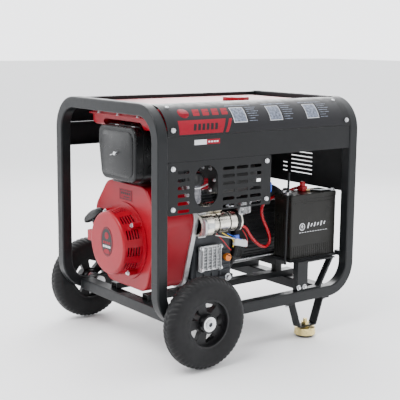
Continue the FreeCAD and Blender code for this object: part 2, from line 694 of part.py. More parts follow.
def foot_brackets():
    """Hat-shaped straps under the rails that hold the feet."""
    straps = []
    for number, side in enumerate((-1, 1), 1):
        body = Body(f"foot_strap_{number}")
        outer_y = f"{side} * ({FAR} - tube_size / 2) + foot_strap_width / 2"
        profile = body.sketch("XZ", outer_y)
        half_top, half_base = "foot_top_width / 2", "foot_base_width / 2"
        rising = [(half_base, FOOT_BASE, "foot_strap"), (half_top, UNDER)]
        wide = f"{half_top} + foot_flange"
        under = f"{UNDER} - foot_strap"
        inside = f"{FOOT_BASE} + foot_strap"
        right = [(f"{FOOT_X} + {half_base}", FOOT_BASE, "2 * foot_strap"),
                 (f"{FOOT_X} + {half_top}", under), (f"{FOOT_X} + {wide}", under),
                 (f"{FOOT_X} + {wide}", UNDER), (f"{FOOT_X} + {half_top} - foot_strap", UNDER),
                 (f"{FOOT_X} + {half_base} - foot_strap", inside, "foot_strap")]
        left = [(f"{FOOT_X} - {half_base} + foot_strap", inside, "foot_strap"),
                (f"{FOOT_X} - {half_top} + foot_strap", UNDER), (f"{FOOT_X} - ({wide})", UNDER),
                (f"{FOOT_X} - ({wide})", under), (f"{FOOT_X} - {half_top}", under),
                (f"{FOOT_X} - {half_base}", FOOT_BASE, "2 * foot_strap")]
        outline(profile, right + left)
        body.pad(profile, "foot_strap_width")
        drill = rod("Z", FOOT_X, f"{side} * ({FAR} - tube_size / 2)", "0",
                    "stud_diameter / 2 + bore_gap", f"{FOOT_BASE} + 2 * foot_strap")
        straps.append(cut(body.item, [drill]))
    keep(group(straps), "foot_brackets")


def feet():
    studs, cups, pads = [], [], []
    for side in (-1, 1):
        y = f"{side} * ({FAR} - tube_size / 2)"
        cup_top = f"({FOOT_BASE} - foot_lock_height)"
        cup_low = f"({cup_top} - cup_height)"
        studs.append(fuse([
            rod("Z", FOOT_X, y, f"{cup_top}", "stud_diameter / 2",
                "foot_lock_height + foot_strap + 2 * foot_nut_height"),
            hexagon("Z", FOOT_X, y, f"{FOOT_BASE} + foot_strap", "foot_nut", "foot_nut_height"),
            hexagon("Z", FOOT_X, y, cup_top, "foot_nut", "foot_lock_height")]))
        cups.append(cut(cone("Z", FOOT_X, y, cup_low, "cup_diameter / 2",
                             "cup_diameter / 2 - cup_wall", "cup_height"),
                        [rod("Z", FOOT_X, y, cup_low, "cup_diameter / 2 - 2 * cup_wall",
                             "cup_height - cup_wall")]))
        pads.append(rod("Z", FOOT_X, y, "0", "pad_diameter / 2 - 2 * cup_wall",
                        f"{cup_top} - cup_wall"))
    keep(group(studs), "foot_studs")
    keep(group(cups), "foot_cups")
    keep(group(pads), "foot_pads")


# ---- fuel tank --------------------------------------------------------------------------

TANK_X = f"({LEFT} + tank_from_left)"
TANK_Z = f"({RAIL_TOP} + strap_wall)"
FILLER_X = f"({LEFT} + filler_from_left)"
FILLER_Y = "(-filler_from_centre)"


def tank_straps():
    """Flat bars across the tank rails that the tank sits on."""
    straps = []
    for x in (f"{TANK_X} + strap_inset", f"{TANK_X} + tank_length - strap_inset - strap_width"):
        straps.append(box(x, f"{NEAR} + sheet_inset + sheet_wall + cover_return", RAIL_TOP,
                          "strap_width", "frame_width - 2 * (sheet_inset + sheet_wall + "
                          "cover_return)", "strap_wall"))
    keep(group(straps), "tank_straps")


def fuel_tank():
    """A pressed shell with a welded seam flange and a filler neck."""
    outer = rounded_block("tank_shell", TANK_X, "-tank_width / 2", TANK_Z, "tank_length",
                          "tank_width", "tank_height", "tank_corner", "tank_edge")
    inner = rounded_block("tank_inside", f"{TANK_X} + tank_wall", "-tank_width / 2 + tank_wall",
                          f"{TANK_Z} + tank_wall", "tank_length - 2 * tank_wall",
                          "tank_width - 2 * tank_wall", "tank_height - 2 * tank_wall",
                          "tank_corner - tank_wall", "tank_edge - tank_wall")
    seam = rounded_block("tank_seam", f"{TANK_X} - tank_flange", "-tank_width / 2 - tank_flange",
                         f"{TANK_Z} + tank_height / 2 - tank_flange_wall / 2",
                         "tank_length + 2 * tank_flange", "tank_width + 2 * tank_flange",
                         "tank_flange_wall", "tank_corner + tank_flange")
    recess = cleaner_recess("0")
    roof = cut(inner, [cleaner_recess("tank_wall")])
    neck_foot = f"{TANK_Z} + tank_height - tank_wall - bore_gap"
    neck = rod("Z", FILLER_X, FILLER_Y, neck_foot, "neck_diameter / 2", "neck_height + tank_wall")
    drill = rod("Z", FILLER_X, FILLER_Y, f"{neck_foot} - tank_wall",
                "neck_diameter / 2 - neck_wall", "neck_height + 4 * tank_wall")
    keep(cut(fuse([outer, seam, neck]), [roof, drill, recess]), "fuel_tank")


def cleaner_recess(grow):
    """The hollow under the tank's left end that clears the air cleaner, grown by a wall."""
    start = f"({TANK_X} - 2 * tank_flange)"
    block = box(start, f"{CLEAN_Y} - recess_gap - {grow}", f"{TANK_Z} - recess_height",
                f"{CLEAN_X} + cleaner_cover_depth + cleaner_gap + cleaner_box_depth + "
                f"recess_gap + {grow} - {start}",
                f"cleaner_width + 2 * (recess_gap + {grow})", f"2 * recess_height + {grow}")
    return rounded(block, f"recess_round + {grow}", runs_along("X"))


def fuel_cap():
    neck_top = f"({TANK_Z} + tank_height + neck_height - bore_gap)"
    low = f"({neck_top} + cap_gap + cap_wall - cap_height)"
    body = rounded(rod("Z", FILLER_X, FILLER_Y, low, "cap_diameter / 2", "cap_height"),
                   "cap_wall * 0.7", lambda e: e.BoundBox.ZLength < 0.01
                   and e.BoundBox.ZMin > value(f"{low} + cap_height / 2"))
    hollow = rod("Z", FILLER_X, FILLER_Y, low, "cap_diameter / 2 - cap_wall",
                 "cap_height - cap_wall")
    plug = rod("Z", FILLER_X, FILLER_Y, f"{low} + cap_height - 2 * cap_wall - neck_height",
               "neck_diameter / 2 - neck_wall - cap_gap", "neck_height + cap_wall * 1.5")
    keep(fuse([cut(body, [hollow]), plug]), "fuel_cap")


# ---- engine -----------------------------------------------------------------------------

BARREL_X = f"({CASE_LEFT} + (case_length - barrel_length) / 2)"
CASE_TOP = f"({BASE_Z} + base_wall + case_height)"
BARREL_TOP = f"({CASE_TOP} + barrel_height)"
SHROUD_X = f"({LEFT} + shroud_from_left)"
PLATE_X = f"({SHROUD_X} + shroud_length)"
SHAFT = "(shaft_diameter / 2)"


def engine_mounts():
    pads = []
    end_x = f"{ALT_RIGHT} - foot_block / 2"
    for x in (f"{CASE_LEFT} + mount_diameter / 2", f"{CASE_RIGHT} - mount_diameter / 2", end_x):
        for side in (-1, 1):
            pads.append(rod("Z", x, f"{side} * bed_spacing / 2", BED_TOP, "mount_diameter / 2",
                            "mount_height"))
    keep(group(pads), "engine_mounts")


def crankcase():
    """A cast box with a foot flange, ribbed sides and a bore for the crankshaft."""
    half = "case_width / 2"
    foot = rounded_block("case_foot", f"{CASE_LEFT} - base_flange / 2",
                         f"-{half} - base_flange", BASE_Z, "case_length + base_flange / 2",
                         "case_width + 2 * base_flange", "base_wall", "case_round")
    block = rounded_block("case_block", CASE_LEFT, f"-{half}", f"{BASE_Z} + base_wall / 2",
                          "case_length", "case_width", "case_height + base_wall / 2",
                          "case_round")
    pieces = [foot, block]
    for step in range(int(value("rib_count"))):
        z = f"{BASE_Z} + base_wall + rib_pitch * {step + 1}"
        for y in (f"-{half} - rib_depth", half):
            pieces.append(box(f"{CASE_LEFT} + case_round", y, z,
                              "case_length - 2 * case_round", "rib_depth", "rib_wall"))
    for step in range(int(value("post_count"))):
        x = f"{CASE_LEFT} + case_round + rib_pitch * {step} * 2"
        pieces.append(box(x, f"-{half} - rib_depth", f"{BASE_Z} + base_wall / 2", "rib_wall",
                          "rib_depth", "rib_pitch * (rib_count + 1)"))
    hollow = box(f"{CASE_LEFT} + case_wall", f"-{half} + case_wall",
                 f"{BASE_Z} + base_wall / 2 + case_wall", "case_length - 2 * case_wall",
                 "case_width - 2 * case_wall", "case_height - case_wall")
    bore = rod("X", f"{CASE_LEFT} - case_wall", "0", CRANK_Z, f"{SHAFT} + running_gap",
               "case_length + 2 * case_wall")
    dip = rod("Y", f"{LEFT} + dipstick_from_left", f"-{half} - case_wall",
              f"{UNDER} + dipstick_height", "dipstick_rod + cap_gap", "3 * case_wall")
    seat = rod("Y", f"{LEFT} + dipstick_from_left", f"-{half} - rib_depth",
               f"{UNDER} + dipstick_height", "dipstick_radius + side_gap", "rib_depth")
    keep(cut(fuse(pieces), [hollow, bore, dip, seat]), "crankcase")


def cylinder():
    """The finned barrel and head, with the cylinder's bore open at the crankcase."""
    width = "barrel_width"
    core = box(f"{BARREL_X} + fin_depth", f"-{width} / 2 + fin_depth", CASE_TOP,
               "barrel_length - 2 * fin_depth", f"{width} - 2 * fin_depth", "barrel_height")
    pieces = [core]
    for step in range(int(value("fin_count"))):
        pieces.append(rounded_block(f"fin_{step}", BARREL_X, f"-{width} / 2",
                                    f"{CASE_TOP} + fin_wall + {step} * fin_pitch",
                                    "barrel_length", width, "fin_wall", "fin_depth"))
    head = rounded_block("head", BARREL_X, f"-{width} / 2",
                         f"{CASE_TOP} + fin_pitch * (fin_count + 1)", "barrel_length", width,
                         "barrel_height - fin_pitch * (fin_count + 1)", "fin_depth")
    bore = rod("Z", f"{CASE_LEFT} + case_length / 2", "0", CASE_TOP, "cylinder_bore / 2",
               "fin_pitch * (fin_count + 1)")
    keep(cut(fuse(pieces + [head]), [bore]), "cylinder")


def rocker_cover():
    block = rounded_block("rocker_block", f"{CASE_LEFT} + (case_length - rocker_length) / 2",
                          "-rocker_width / 2", BARREL_TOP, "rocker_length", "rocker_width",
                          "rocker_height", "case_round", "case_round / 2")
    keep(block, "rocker_cover")


def shroud_outline(sketch, margin):
    """The shroud's tapered outline round the crankshaft, grown outwards by margin."""
    half_top, half_shoulder = f"(shroud_top_half + {margin})", f"(shroud_shoulder_half + {margin})"
    half_low = f"(shroud_bottom_half + {margin})"
    top, shoulder = f"{CRANK_Z} + shroud_top + {margin}", f"{CRANK_Z} + shroud_shoulder"
    low = f"{CRANK_Z} - shroud_bottom - {margin}"
    bend = f"(shroud_round + {margin})"
    outline(sketch, [(f"-{half_low}", low, bend), (half_low, low, bend),
                     (half_shoulder, shoulder, bend), (half_top, top, bend),
                     (f"-{half_top}", top, bend), (f"-{half_shoulder}", shoulder, bend)])


def fan_shroud():
    body = Body("fan_shroud")
    profile = body.sketch("YZ", SHROUD_X)
    shroud_outline(profile, "0")
    pad = body.pad(profile, "shroud_length")
    front = value(SHROUD_X)
    body.round(pad, "2 * shroud_wall", lambda e: abs(e.BoundBox.XMax - front) < 0.01)
    hollow = body.sketch("YZ", PLATE_X)
    shroud_outline(hollow, "-shroud_wall")
    body.pocket(hollow, "shroud_length - shroud_wall")
    inlet = body.sketch("YZ", f"{SHROUD_X} + case_wall")
    circle(inlet, "0", CRANK_Z, "recoil_radius - 2 * recoil_wall")
    body.pocket(inlet, "2 * case_wall")
    keep(body.item, "fan_shroud")


def front_plate():
    """The aluminium plate between shroud and crankcase, which holds the front bearing."""
    body = Body("front_plate")
    profile = body.sketch("YZ", PLATE_X)
    shroud_outline(profile, "plate_margin")
    body.pad(profile, "plate_wall")
    bore = body.sketch("YZ", f"{PLATE_X} + plate_wall")
    circle(bore, "0", CRANK_Z, f"{SHAFT} + running_gap")
    body.pocket(bore, "2 * plate_wall")
    keep(body.item, "front_plate")


ROPE_X = f"({LEFT} + recoil_from_left + (shroud_from_left - recoil_from_left) / 2)"


def pull_rod(start, length, radius):
    """A round bar along the rope's line, start from the line's nearest point to the crank."""
    item = doc.addObject("Part::Cylinder", "pull_bar")
    bind(item, "Radius", radius)
    bind(item, "Height", length)
    tilt = value("rope_angle")
    item.Placement = Placement(Vector(), Rotation(Vector(1, 0, 0), -tilt))
    across, along = "sin(rope_angle)", "cos(rope_angle)"
    return put(item, ROPE_X, f"rope_offset * {along} + ({start}) * {across}",
               f"{CRANK_Z} - rope_offset * {across} + ({start}) * {along}")


def recoil_housing():
    """The starter's pressed cover, slotted all round, with an arm that guides the rope."""
    depth = "(shroud_from_left - recoil_from_left)"
    body = Body("recoil_cup")
    profile = body.sketch("XY")
    wall, face, base = "recoil_wall", "recoil_face_radius", "recoil_radius"
    outline(profile, [("0", "0"), ("0", face, "3 * recoil_wall"),
                      (f"{depth} - recoil_flange_wall", base),
                      (f"{depth} - recoil_flange_wall", "recoil_flange_radius"),
                      (depth, "recoil_flange_radius"), (depth, f"{base} - {wall}"),
                      (wall, f"{face} - {wall}", "2 * recoil_wall"), (wall, "0")])
    body.turn(profile, "H_Axis")
    slots = body.sketch("XY", "recoil_face_radius / 2")
    for step in range(int(value("recoil_slot_rows"))):
        rectangle(slots, f"recoil_slot_pitch * {step + 1.6}", "-recoil_slot_length / 2",
                  "recoil_slot_width", "recoil_slot_length")
    body.ring(body.pocket(slots, "recoil_radius", back=True), "X", "recoil_slot_groups")
    body.item.Placement = Placement(Vector(), Rotation(Vector(1, 0, 0),
                                                       value("recoil_slot_turn")))
    put(body.item, f"{LEFT} + recoil_from_left", "0", CRANK_Z)
    lugs = []
    for step in range(int(value("lug_count"))):
        turn = f"(lug_turn + {step} * 360 / lug_count)"
        lug = rod("X", f"{SHROUD_X} - lug_length", f"-lug_reach * cos({turn})",
                  f"{CRANK_Z} + lug_reach * sin({turn})", "lug_radius", "lug_length")
        lugs.append(lug)
    guide = pull_rod("guide_out", "guide_length", "guide_radius")
    throat = pull_rod("guide_out - 2 * guide_length", "4 * guide_length", "rope_diameter")
    web = box(f"{LEFT} + recoil_from_left + recoil_wall", "recoil_radius * 0.86",
              f"{CRANK_Z} - guide_radius", f"{depth} - recoil_wall - recoil_flange_wall",
              "guide_radius * 3", "guide_radius * 3.4")
    hollow = rod("X", f"{LEFT} + recoil_from_left + recoil_wall", "0", CRANK_Z,
                 "recoil_radius - 2 * recoil_wall - 4", depth)
    arm = rounded(web, "guide_radius / 2", runs_along("X"))
    outside = cut(fuse([arm, guide] + lugs), [hollow])
    keep(cut(fuse([body.item, outside]), [throat]), "recoil_housing")


def recoil_pulley():
    disc = rod("X", f"{ROPE_X} - pulley_width / 2", "0", CRANK_Z, "pulley_radius",
               "pulley_width")
    groove = tube("X", f"{ROPE_X} - rope_diameter", "0", CRANK_Z, "pulley_radius + rope_diameter",
                  "pulley_radius - rope_diameter", "2 * rope_diameter")
    keep(cut(disc, [groove]), "recoil_pulley")


def recoil_handle():
    """A T grip with its stem and the first length of rope, which lies inside the housing."""
    grip_start = "grip_out"
    stem = pull_rod("guide_out + guide_length + grip_gap", f"{grip_start} - guide_out - "
                    "guide_length - grip_gap", "guide_radius * 0.8")
    rope = pull_rod("-rope_inside", "rope_inside + guide_out + guide_length + 2 * grip_gap",
                    "rope_diameter / 2")
    bar = doc.addObject("Part::Cylinder", "grip_bar")
    bind(bar, "Radius", "grip_radius")
    bind(bar, "Height", "grip_length")
    bar.Placement = Placement(Vector(), Rotation(Vector(1, 0, 0), 90 - value("rope_angle")))
    across, along = "sin(rope_angle)", "cos(rope_angle)"
    centre_y = f"(rope_offset * {along} + grip_out * {across})"
    centre_z = f"({CRANK_Z} - rope_offset * {across} + grip_out * {along})"
    put(bar, ROPE_X, f"{centre_y} + grip_length / 2 * {along}",
        f"{centre_z} - grip_length / 2 * {across}")
    grip = rounded(bar, "grip_radius * 0.8", lambda e: e.Curve.TypeId == "Part::GeomCircle")
    keep(fuse([grip, stem, rope]), "recoil_handle")


def flywheel():
    x = f"{LEFT} + flywheel_from_left"
    rim = rod("X", x, "0", CRANK_Z, "flywheel_radius", "flywheel_wall")
    bore = rod("X", f"{x} - flywheel_wall", "0", CRANK_Z, f"{SHAFT}", "3 * flywheel_wall")
    dish = tube("X", x, "0", CRANK_Z, "flywheel_radius - case_wall", "fan_hub_radius",
                "flywheel_wall - case_wall")
    blades = []
    for step in range(int(value("fan_blade_count"))):
        blade = box("0", "0", "0", "flywheel_wall - case_wall",
                    "flywheel_radius - fan_hub_radius - case_wall / 2", "fan_blade_wall")
        angle = 360 * step / value("fan_blade_count")
        blade.Placement = Placement(Vector(), Rotation(Vector(1, 0, 0), angle))
        blades.append(put(blade, x, f"(fan_hub_radius - 1) * cos({angle})",
                          f"{CRANK_Z} + (fan_hub_radius - 1) * sin({angle})"))
    keep(cut(fuse([cut(rim, [dish])] + blades), [bore]), "flywheel")


def crankshaft():
    """The through shaft: flywheel seat, journals, alternator shaft and stepped tail end."""
    start = f"({LEFT} + flywheel_from_left - case_wall)"
    main = rod("X", start, "0", CRANK_Z, SHAFT, f"{ALT_RIGHT} - {start}")
    tail = rod("X", ALT_RIGHT, "0", CRANK_Z, "shaft_end_diameter / 2", "alternator_end - case_wall")
    nut = hexagon("X", f"{start} - nut_height", "0", CRANK_Z, "nut_across", "nut_height")
    keep(fuse([main, tail, nut]), "crankshaft")


# ---- air cleaner, muffler, starter, dipstick --------------------------------------------

def cleaner_outline(sketch, grow="0"):
    low_y, high_y = f"{CLEAN_Y} - ({grow})", f"{CLEAN_Y} + cleaner_width + ({grow})"
    low, high = f"{CLEAN_Z} - ({grow})", f"{CLEAN_Z} + cleaner_height + ({grow})"
    bend = f"(cleaner_round + ({grow}))"
    outline(sketch, [(low_y, low, bend), (f"{high_y} - cleaner_taper", low, bend),
                     (high_y, f"{low} + cleaner_taper_height", bend), (high_y, high, bend),
                     (low_y, high, bend)])


def air_cleaner():
    """A box behind and a cover in front that part at a rim, round a paper element."""
    seam = f"({CLEAN_X} + cleaner_cover_depth)"
    back = f"({seam} + cleaner_gap + cleaner_box_depth)"
    for label, start, depth, open_at in (
            ("air_cleaner_cover", CLEAN_X, "cleaner_cover_depth", "high"),
            ("air_cleaner_box", f"({seam} + cleaner_gap)", "cleaner_box_depth", "low")):
        body = Body(label)
        profile = body.sketch("YZ", start)
        cleaner_outline(profile)
        pad = body.pad(profile, depth)
        closed = value(start if open_at == "high" else f"{start} + {depth}")
        body.round(pad, "2 * cleaner_wall", lambda e, x=closed: e.BoundBox.XLength < 0.01
                   and abs(e.BoundBox.XMin - x) < 0.01)
        rim = body.sketch("YZ", f"{start} + {depth} - cleaner_rim" if open_at == "high"
                          else start)
        cleaner_outline(rim, "cleaner_rim / 2")
        body.pad(rim, "cleaner_rim")
        hollow = body.sketch("YZ", f"{start} + {depth}" if open_at == "high" else start)
        cleaner_outline(hollow, "-cleaner_wall")
        body.pocket(hollow, f"{depth} - cleaner_wall", back=open_at == "low")
        if label == "air_cleaner_box":
            duct = body.sketch("YZ", f"{back} + cleaner_wall")
            circle(duct, f"{CLEAN_Y} + cleaner_width / 2", f"{CLEAN_Z} + cleaner_height / 2",
                   "element_radius / 2")
            body.pocket(duct, "4 * cleaner_wall")
        keep(body.item, label)
    middle_y = f"{CLEAN_Y} + cleaner_width / 2"
    middle_z = f"{CLEAN_Z} + cleaner_height / 2"
    keep(tube("X", f"{seam} + cleaner_rim", middle_y, middle_z, "element_radius",
              "element_radius / 2", "cleaner_box_depth - cleaner_rim - 2 * cleaner_wall"),
         "filter_element")
    hub = rod("X", f"{CLEAN_X} - cleaner_gap - knob_radius", middle_y, middle_z, "knob_radius",
              "knob_radius")
    wing = box(f"{CLEAN_X} - cleaner_gap - knob_radius * 1.3", f"{middle_y} - 2 * knob_radius",
               f"{middle_z} - knob_radius / 4", "knob_radius", "4 * knob_radius",
               "knob_radius / 2")
    keep(fuse([hub, rounded(wing, "knob_radius / 5", runs_along("X"))]), "air_cleaner_knob")


def muffler():
    x = f"{LEFT} + muffler_from_left"
    y = f"({NEAR} + muffler_from_near)"
    z = f"{UNDER} + muffler_height"
    can = rounded(rod("X", x, y, z, "muffler_radius", "muffler_length"), "muffler_radius / 4",
                  lambda e: e.Curve.TypeId == "Part::GeomCircle")
    hollow = rod("X", f"{x} + muffler_wall", y, z, "muffler_radius * 0.72",
                 "muffler_length - 2 * muffler_wall")
    reach = f"-barrel_width / 2 - ({y}) - muffler_radius * 0.8"
    pipe = rod("Y", f"{CASE_LEFT} + case_length / 2", f"{y} + muffler_radius * 0.8",
               f"{z}", "exhaust_radius", reach)
    tail = rod("Z", f"{x} + muffler_length - muffler_radius", y, f"{z} - muffler_radius * 1.35",
               "exhaust_radius * 0.8", "muffler_radius / 2")
    keep(cut(fuse([can, pipe, tail]), [hollow]), "muffler")


def starter_motor():
    """The starter: cast nose on the front plate, motor can, end cap and solenoid."""
    x = f"({PLATE_X} + plate_wall)"
    y = "(-starter_setback)"
    z = f"{CRANK_Z} + starter_rise"
    nose = rounded(box(x, f"{y} - starter_radius", f"{z} - starter_radius", "starter_nose",
                       "2 * starter_radius", "2 * starter_radius"), "starter_radius * 0.6",
                   runs_along("X"))
    can = rod("X", f"{x} + starter_nose", y, z, "starter_radius - 1", "starter_length")
    cap = rounded(rod("X", f"{x} + starter_nose + starter_length", y, z, "starter_radius + 1",
                      "starter_cap"), "starter_cap / 3",
                  lambda e: e.Curve.TypeId == "Part::GeomCircle")
    over = f"{z} + starter_radius + solenoid_radius - 2"
    solenoid = rod("X", f"{x} + starter_nose / 2", f"{y} + solenoid_radius / 2", over,
                   "solenoid_radius", "solenoid_length")
    keep(fuse([nose, can, cap, solenoid]), "starter_motor")


def dipstick():
    x = f"{LEFT} + dipstick_from_left"
    y = "(-case_width / 2)"
    z = f"{UNDER} + dipstick_height"
    head = rod("Y", x, f"{y} - side_gap - 2 * cap_wall - dipstick_radius", z, "dipstick_radius",
               "dipstick_radius")
    collar = rod("Y", x, f"{y} - side_gap - 2 * cap_wall", z, "dipstick_radius * 0.7",
                 "2 * cap_wall")
    stick = rod("Y", x, f"{y} - side_gap", z, "dipstick_rod / 2", "dipstick_length")
    keep(fuse([rounded(head, "cap_wall / 2", lambda e: e.Curve.TypeId == "Part::GeomCircle"),
               collar, stick]), "dipstick")


# ---- alternator -------------------------------------------------------------------------

def adapter_flange():
    """The cast bell between crankcase and alternator."""
    body = Body("adapter_flange")
    profile = body.sketch("XY")
    outline(profile, [("0", "adapter_radius * 0.62"), ("0", "adapter_radius", "adapter_wall / 2"),
                      ("adapter_wall * 1.4", "adapter_radius", "adapter_wall / 2"),
                      ("adapter_length - adapter_wall", "alternator_radius + adapter_wall"),
                      ("adapter_length", "alternator_radius + adapter_wall"),
                      ("adapter_length", "alternator_radius - alternator_wall"),
                      ("adapter_wall", "adapter_radius * 0.62")])
    body.turn(profile, "H_Axis")
    put(body.item, CASE_RIGHT, "0", CRANK_Z)
    keep(body.item, "adapter_flange")


def alternator_housing():
    """The stator's shell with a slotted end bracket, a rear bearing bore and two feet."""
    body = Body("alternator_shell")
    profile = body.sketch("XY")
    end = "(alternator_length + alternator_end)"
    bore = "(shaft_end_diameter / 2 + running_gap)"
    outline(profile, [("0", "alternator_radius - alternator_wall"), ("0", "alternator_radius"),
                      (end, "alternator_radius", "alternator_wall"), (end, bore),
                      (f"{end} - case_wall", bore),
                      (f"{end} - case_wall", "alternator_radius - alternator_wall")])
    body.turn(profile, "H_Axis")
    slot = body.sketch("YZ", f"{end} + case_wall")
    rectangle(slot, "alternator_radius * 0.42", "-slot_width", "alternator_radius * 0.36",
              "2 * slot_width", "slot_width * 0.9")
    body.ring(body.pocket(slot, "3 * case_wall"), "X", "end_slot_count")
    put(body.item, ALT_LEFT, "0", CRANK_Z)
    width = "bed_spacing + mount_diameter"
    foot = box(f"{ALT_RIGHT} - foot_block", f"-({width}) / 2", BASE_Z, "foot_block", width,
               f"{CRANK_Z} - {BASE_Z} - alternator_radius * 0.5")
    hollow = rod("X", ALT_LEFT, "0", CRANK_Z, "alternator_radius - 1",
                 "alternator_length + alternator_end")
    keep(fuse([body.item, cut(foot, [hollow])]), "alternator_housing")


def alternator_rotor():
    x = f"{ALT_RIGHT} - rotor_length - alternator_wall"
    keep(tube("X", x, "0", CRANK_Z, "rotor_radius", SHAFT, "rotor_length"), "alternator_rotor")


# ---- battery ----------------------------------------------------------------------------

BATTERY_X = f"({RIGHT} - battery_from_right - battery_length)"
BATTERY_Y = f"({NEAR} + battery_from_near)"
BATTERY_Z = f"({POST_FOOT} + battery_above_bend)"
BLACK_POST_X = f"({BATTERY_X} + battery_length * black_post)"
RED_POST_X = f"({BATTERY_X} + battery_length * red_post)"
POST_Y = f"({BATTERY_Y} + battery_width * post_depth)"


def battery():
    case = rounded_block("battery_box", BATTERY_X, BATTERY_Y, BATTERY_Z, "battery_length",
                         "battery_width", "battery_height", "battery_round")
    lid = rounded_block("battery_lid", f"{BATTERY_X} - 1", f"{BATTERY_Y} - 1",
                        f"{BATTERY_Z} + battery_height", "battery_length + 2",
                        "battery_width + 2", "battery_lid_height", "battery_round",
                        "battery_round / 2")
    posts = [rod("Z", x, POST_Y, f"{BATTERY_Z} + battery_height + battery_lid_height / 2",
                 "post_radius", "post_height + battery_lid_height / 2")
             for x in (BLACK_POST_X, RED_POST_X)]
    keep(fuse([case, lid] + posts), "battery")


def battery_tray():
    """A folded tray on two legs from the near rail and a bar from the near right post."""
    x, y = f"({BATTERY_X} - tray_margin)", f"({BATTERY_Y} - tray_margin)"
    length, width = "(battery_length + 2 * tray_margin)", "(battery_width + 2 * tray_margin)"
    z = f"({BATTERY_Z} - tray_wall)"
    pan = cut(box(x, y, z, length, width, "tray_wall + tray_lip"),
              [box(f"{BATTERY_X} - 2", f"{BATTERY_Y} - 2", BATTERY_Z, "battery_length + 4",
                   "battery_width + 4", "2 * tray_lip")])
    rail_top = f"({UNDER} + tube_size)"
    leg_y = f"{NEAR} + (tube_size - tray_leg) / 2"
    foot = box(f"{x} + tray_leg / 2", leg_y, rail_top, f"{length} / 2", "tray_leg", "tray_wall")
    leg_height = f"{z} - {rail_top} + tray_wall"
    leg = fuse([box(f"{x} + tray_leg / 2", leg_y, rail_top, "tray_wall", "tray_leg", leg_height),
                box(f"{x} + tray_leg / 2", leg_y, rail_top, "2 * tray_leg", "tray_wall",
                    leg_height)])
    reach = f"{y} + tray_wall - ({leg_y})"
    shelf = box(f"{x} + tray_leg / 2", leg_y, z, f"{length} - 2 * tray_leg", reach, "tray_wall")
    brace_body = Body("tray_brace")
    brace = brace_body.sketch("XZ", f"{leg_y} + tray_leg")
    low_x, high_x = f"({x} + {length} / 2)", f"({x} + {length} - 2 * tray_leg)"
    outline(brace, [(low_x, rail_top), (f"{low_x} + 2 * tray_wall", rail_top),
                    (f"{high_x} + tray_wall", f"{z} + tray_wall / 2"),
                    (f"{high_x} - tray_wall", f"{z} + tray_wall / 2")])
    brace_body.pad(brace, "tray_leg")
    bar = box(f"{x} + {length}", f"{NEAR} + tube_size / 2 - tray_wall / 2 + tray_margin", z,
              f"{RIGHT} - tube_size - {x} - {length}", "tray_leg", "tray_bar")
    keep(fuse([pan, foot, leg, shelf, brace_body.item, bar]), "battery_tray")


CABLE_ROUTE = [(386, 91, 196), (412, 86, 168), (443, 86, 156), (464, 90, 173),
               (457, 97, 208), (440, 104, 244), (446, 114, 276), (482, 121, 292),
               (528, 122, 300), (562, 120, 310)]


def smooth_path(points):
    """Straight runs joined by arcs, each as large as its two runs leave room for."""
    edges, start = [], points[0]
    for before, corner, after in zip(points, points[1:], points[2:]):
        came, goes = corner - before, after - corner
        reach = 0.45 * min(came.Length, goes.Length)
        enter = corner - unit(before, corner) * reach
        leave = corner + unit(corner, after) * reach
        inward = (enter + leave) * 0.5 - corner
        half_turn = came.getAngle(goes) / 2
        inward.normalize()
        radius = reach / tan(half_turn)
        apex = corner + inward * (radius / cos(half_turn) - radius)
        edges.append(Part.makeLine(start, enter))
        edges.append(Part.Arc(enter, apex, leave).toShape())
        start = leave
    edges.append(Part.makeLine(start, points[-1]))
    return Part.Wire(edges)


def battery_cable():
    """The red lead from the starter to the battery's post, looped between them."""
    corner = Vector(value(LEFT), value(NEAR), value(UNDER))
    motor = Vector(value(f"{PLATE_X} + plate_wall + starter_nose + starter_length"
                         " + starter_cap"),
                   value("-starter_setback - starter_radius / 2"),
                   value(f"{CRANK_Z} + starter_rise - starter_radius / 2"))
    post = Vector(value(RED_POST_X), value(POST_Y) + value("post_radius + side_gap"),
                  value(f"{BATTERY_Z} + battery_height + battery_lid_height + post_height / 2"))
    run = 4 * value("cable_radius")
    route = [motor, motor + Vector(run, 0, 0)]
    route += [corner + Vector(*spot) for spot in CABLE_ROUTE]
    route += [post + Vector(0, run, 0), post]
    path = smooth_path(route)
    radius = value("cable_radius")
    ring = Part.Wire([Part.makeCircle(radius, motor, route[1] - motor)])
    lead = path.makePipeShell([ring], True, False)
    item = doc.addObject("Part::Feature", "lead")
    item.Shape = lead
    expected = pi * radius ** 2 * path.Length
    if abs(lead.Volume / expected - 1) > 0.02:
        raise ValueError("the cable's volume is not its section times its length")
    keep(item, "battery_cable")


# ---- control panel ----------------------------------------------------------------------

BOX_RIGHT = f"({RIGHT} - tube_size - panel_gap)"
BOX_LEFT = f"({BOX_RIGHT} - panel_length)"
BOX_Z = f"({UNDER} + panel_bottom)"
FRONT_Y = f"({FAR} - panel_inset)"
SOCKET_Z = f"({BOX_Z} + panel_height * socket_row)"


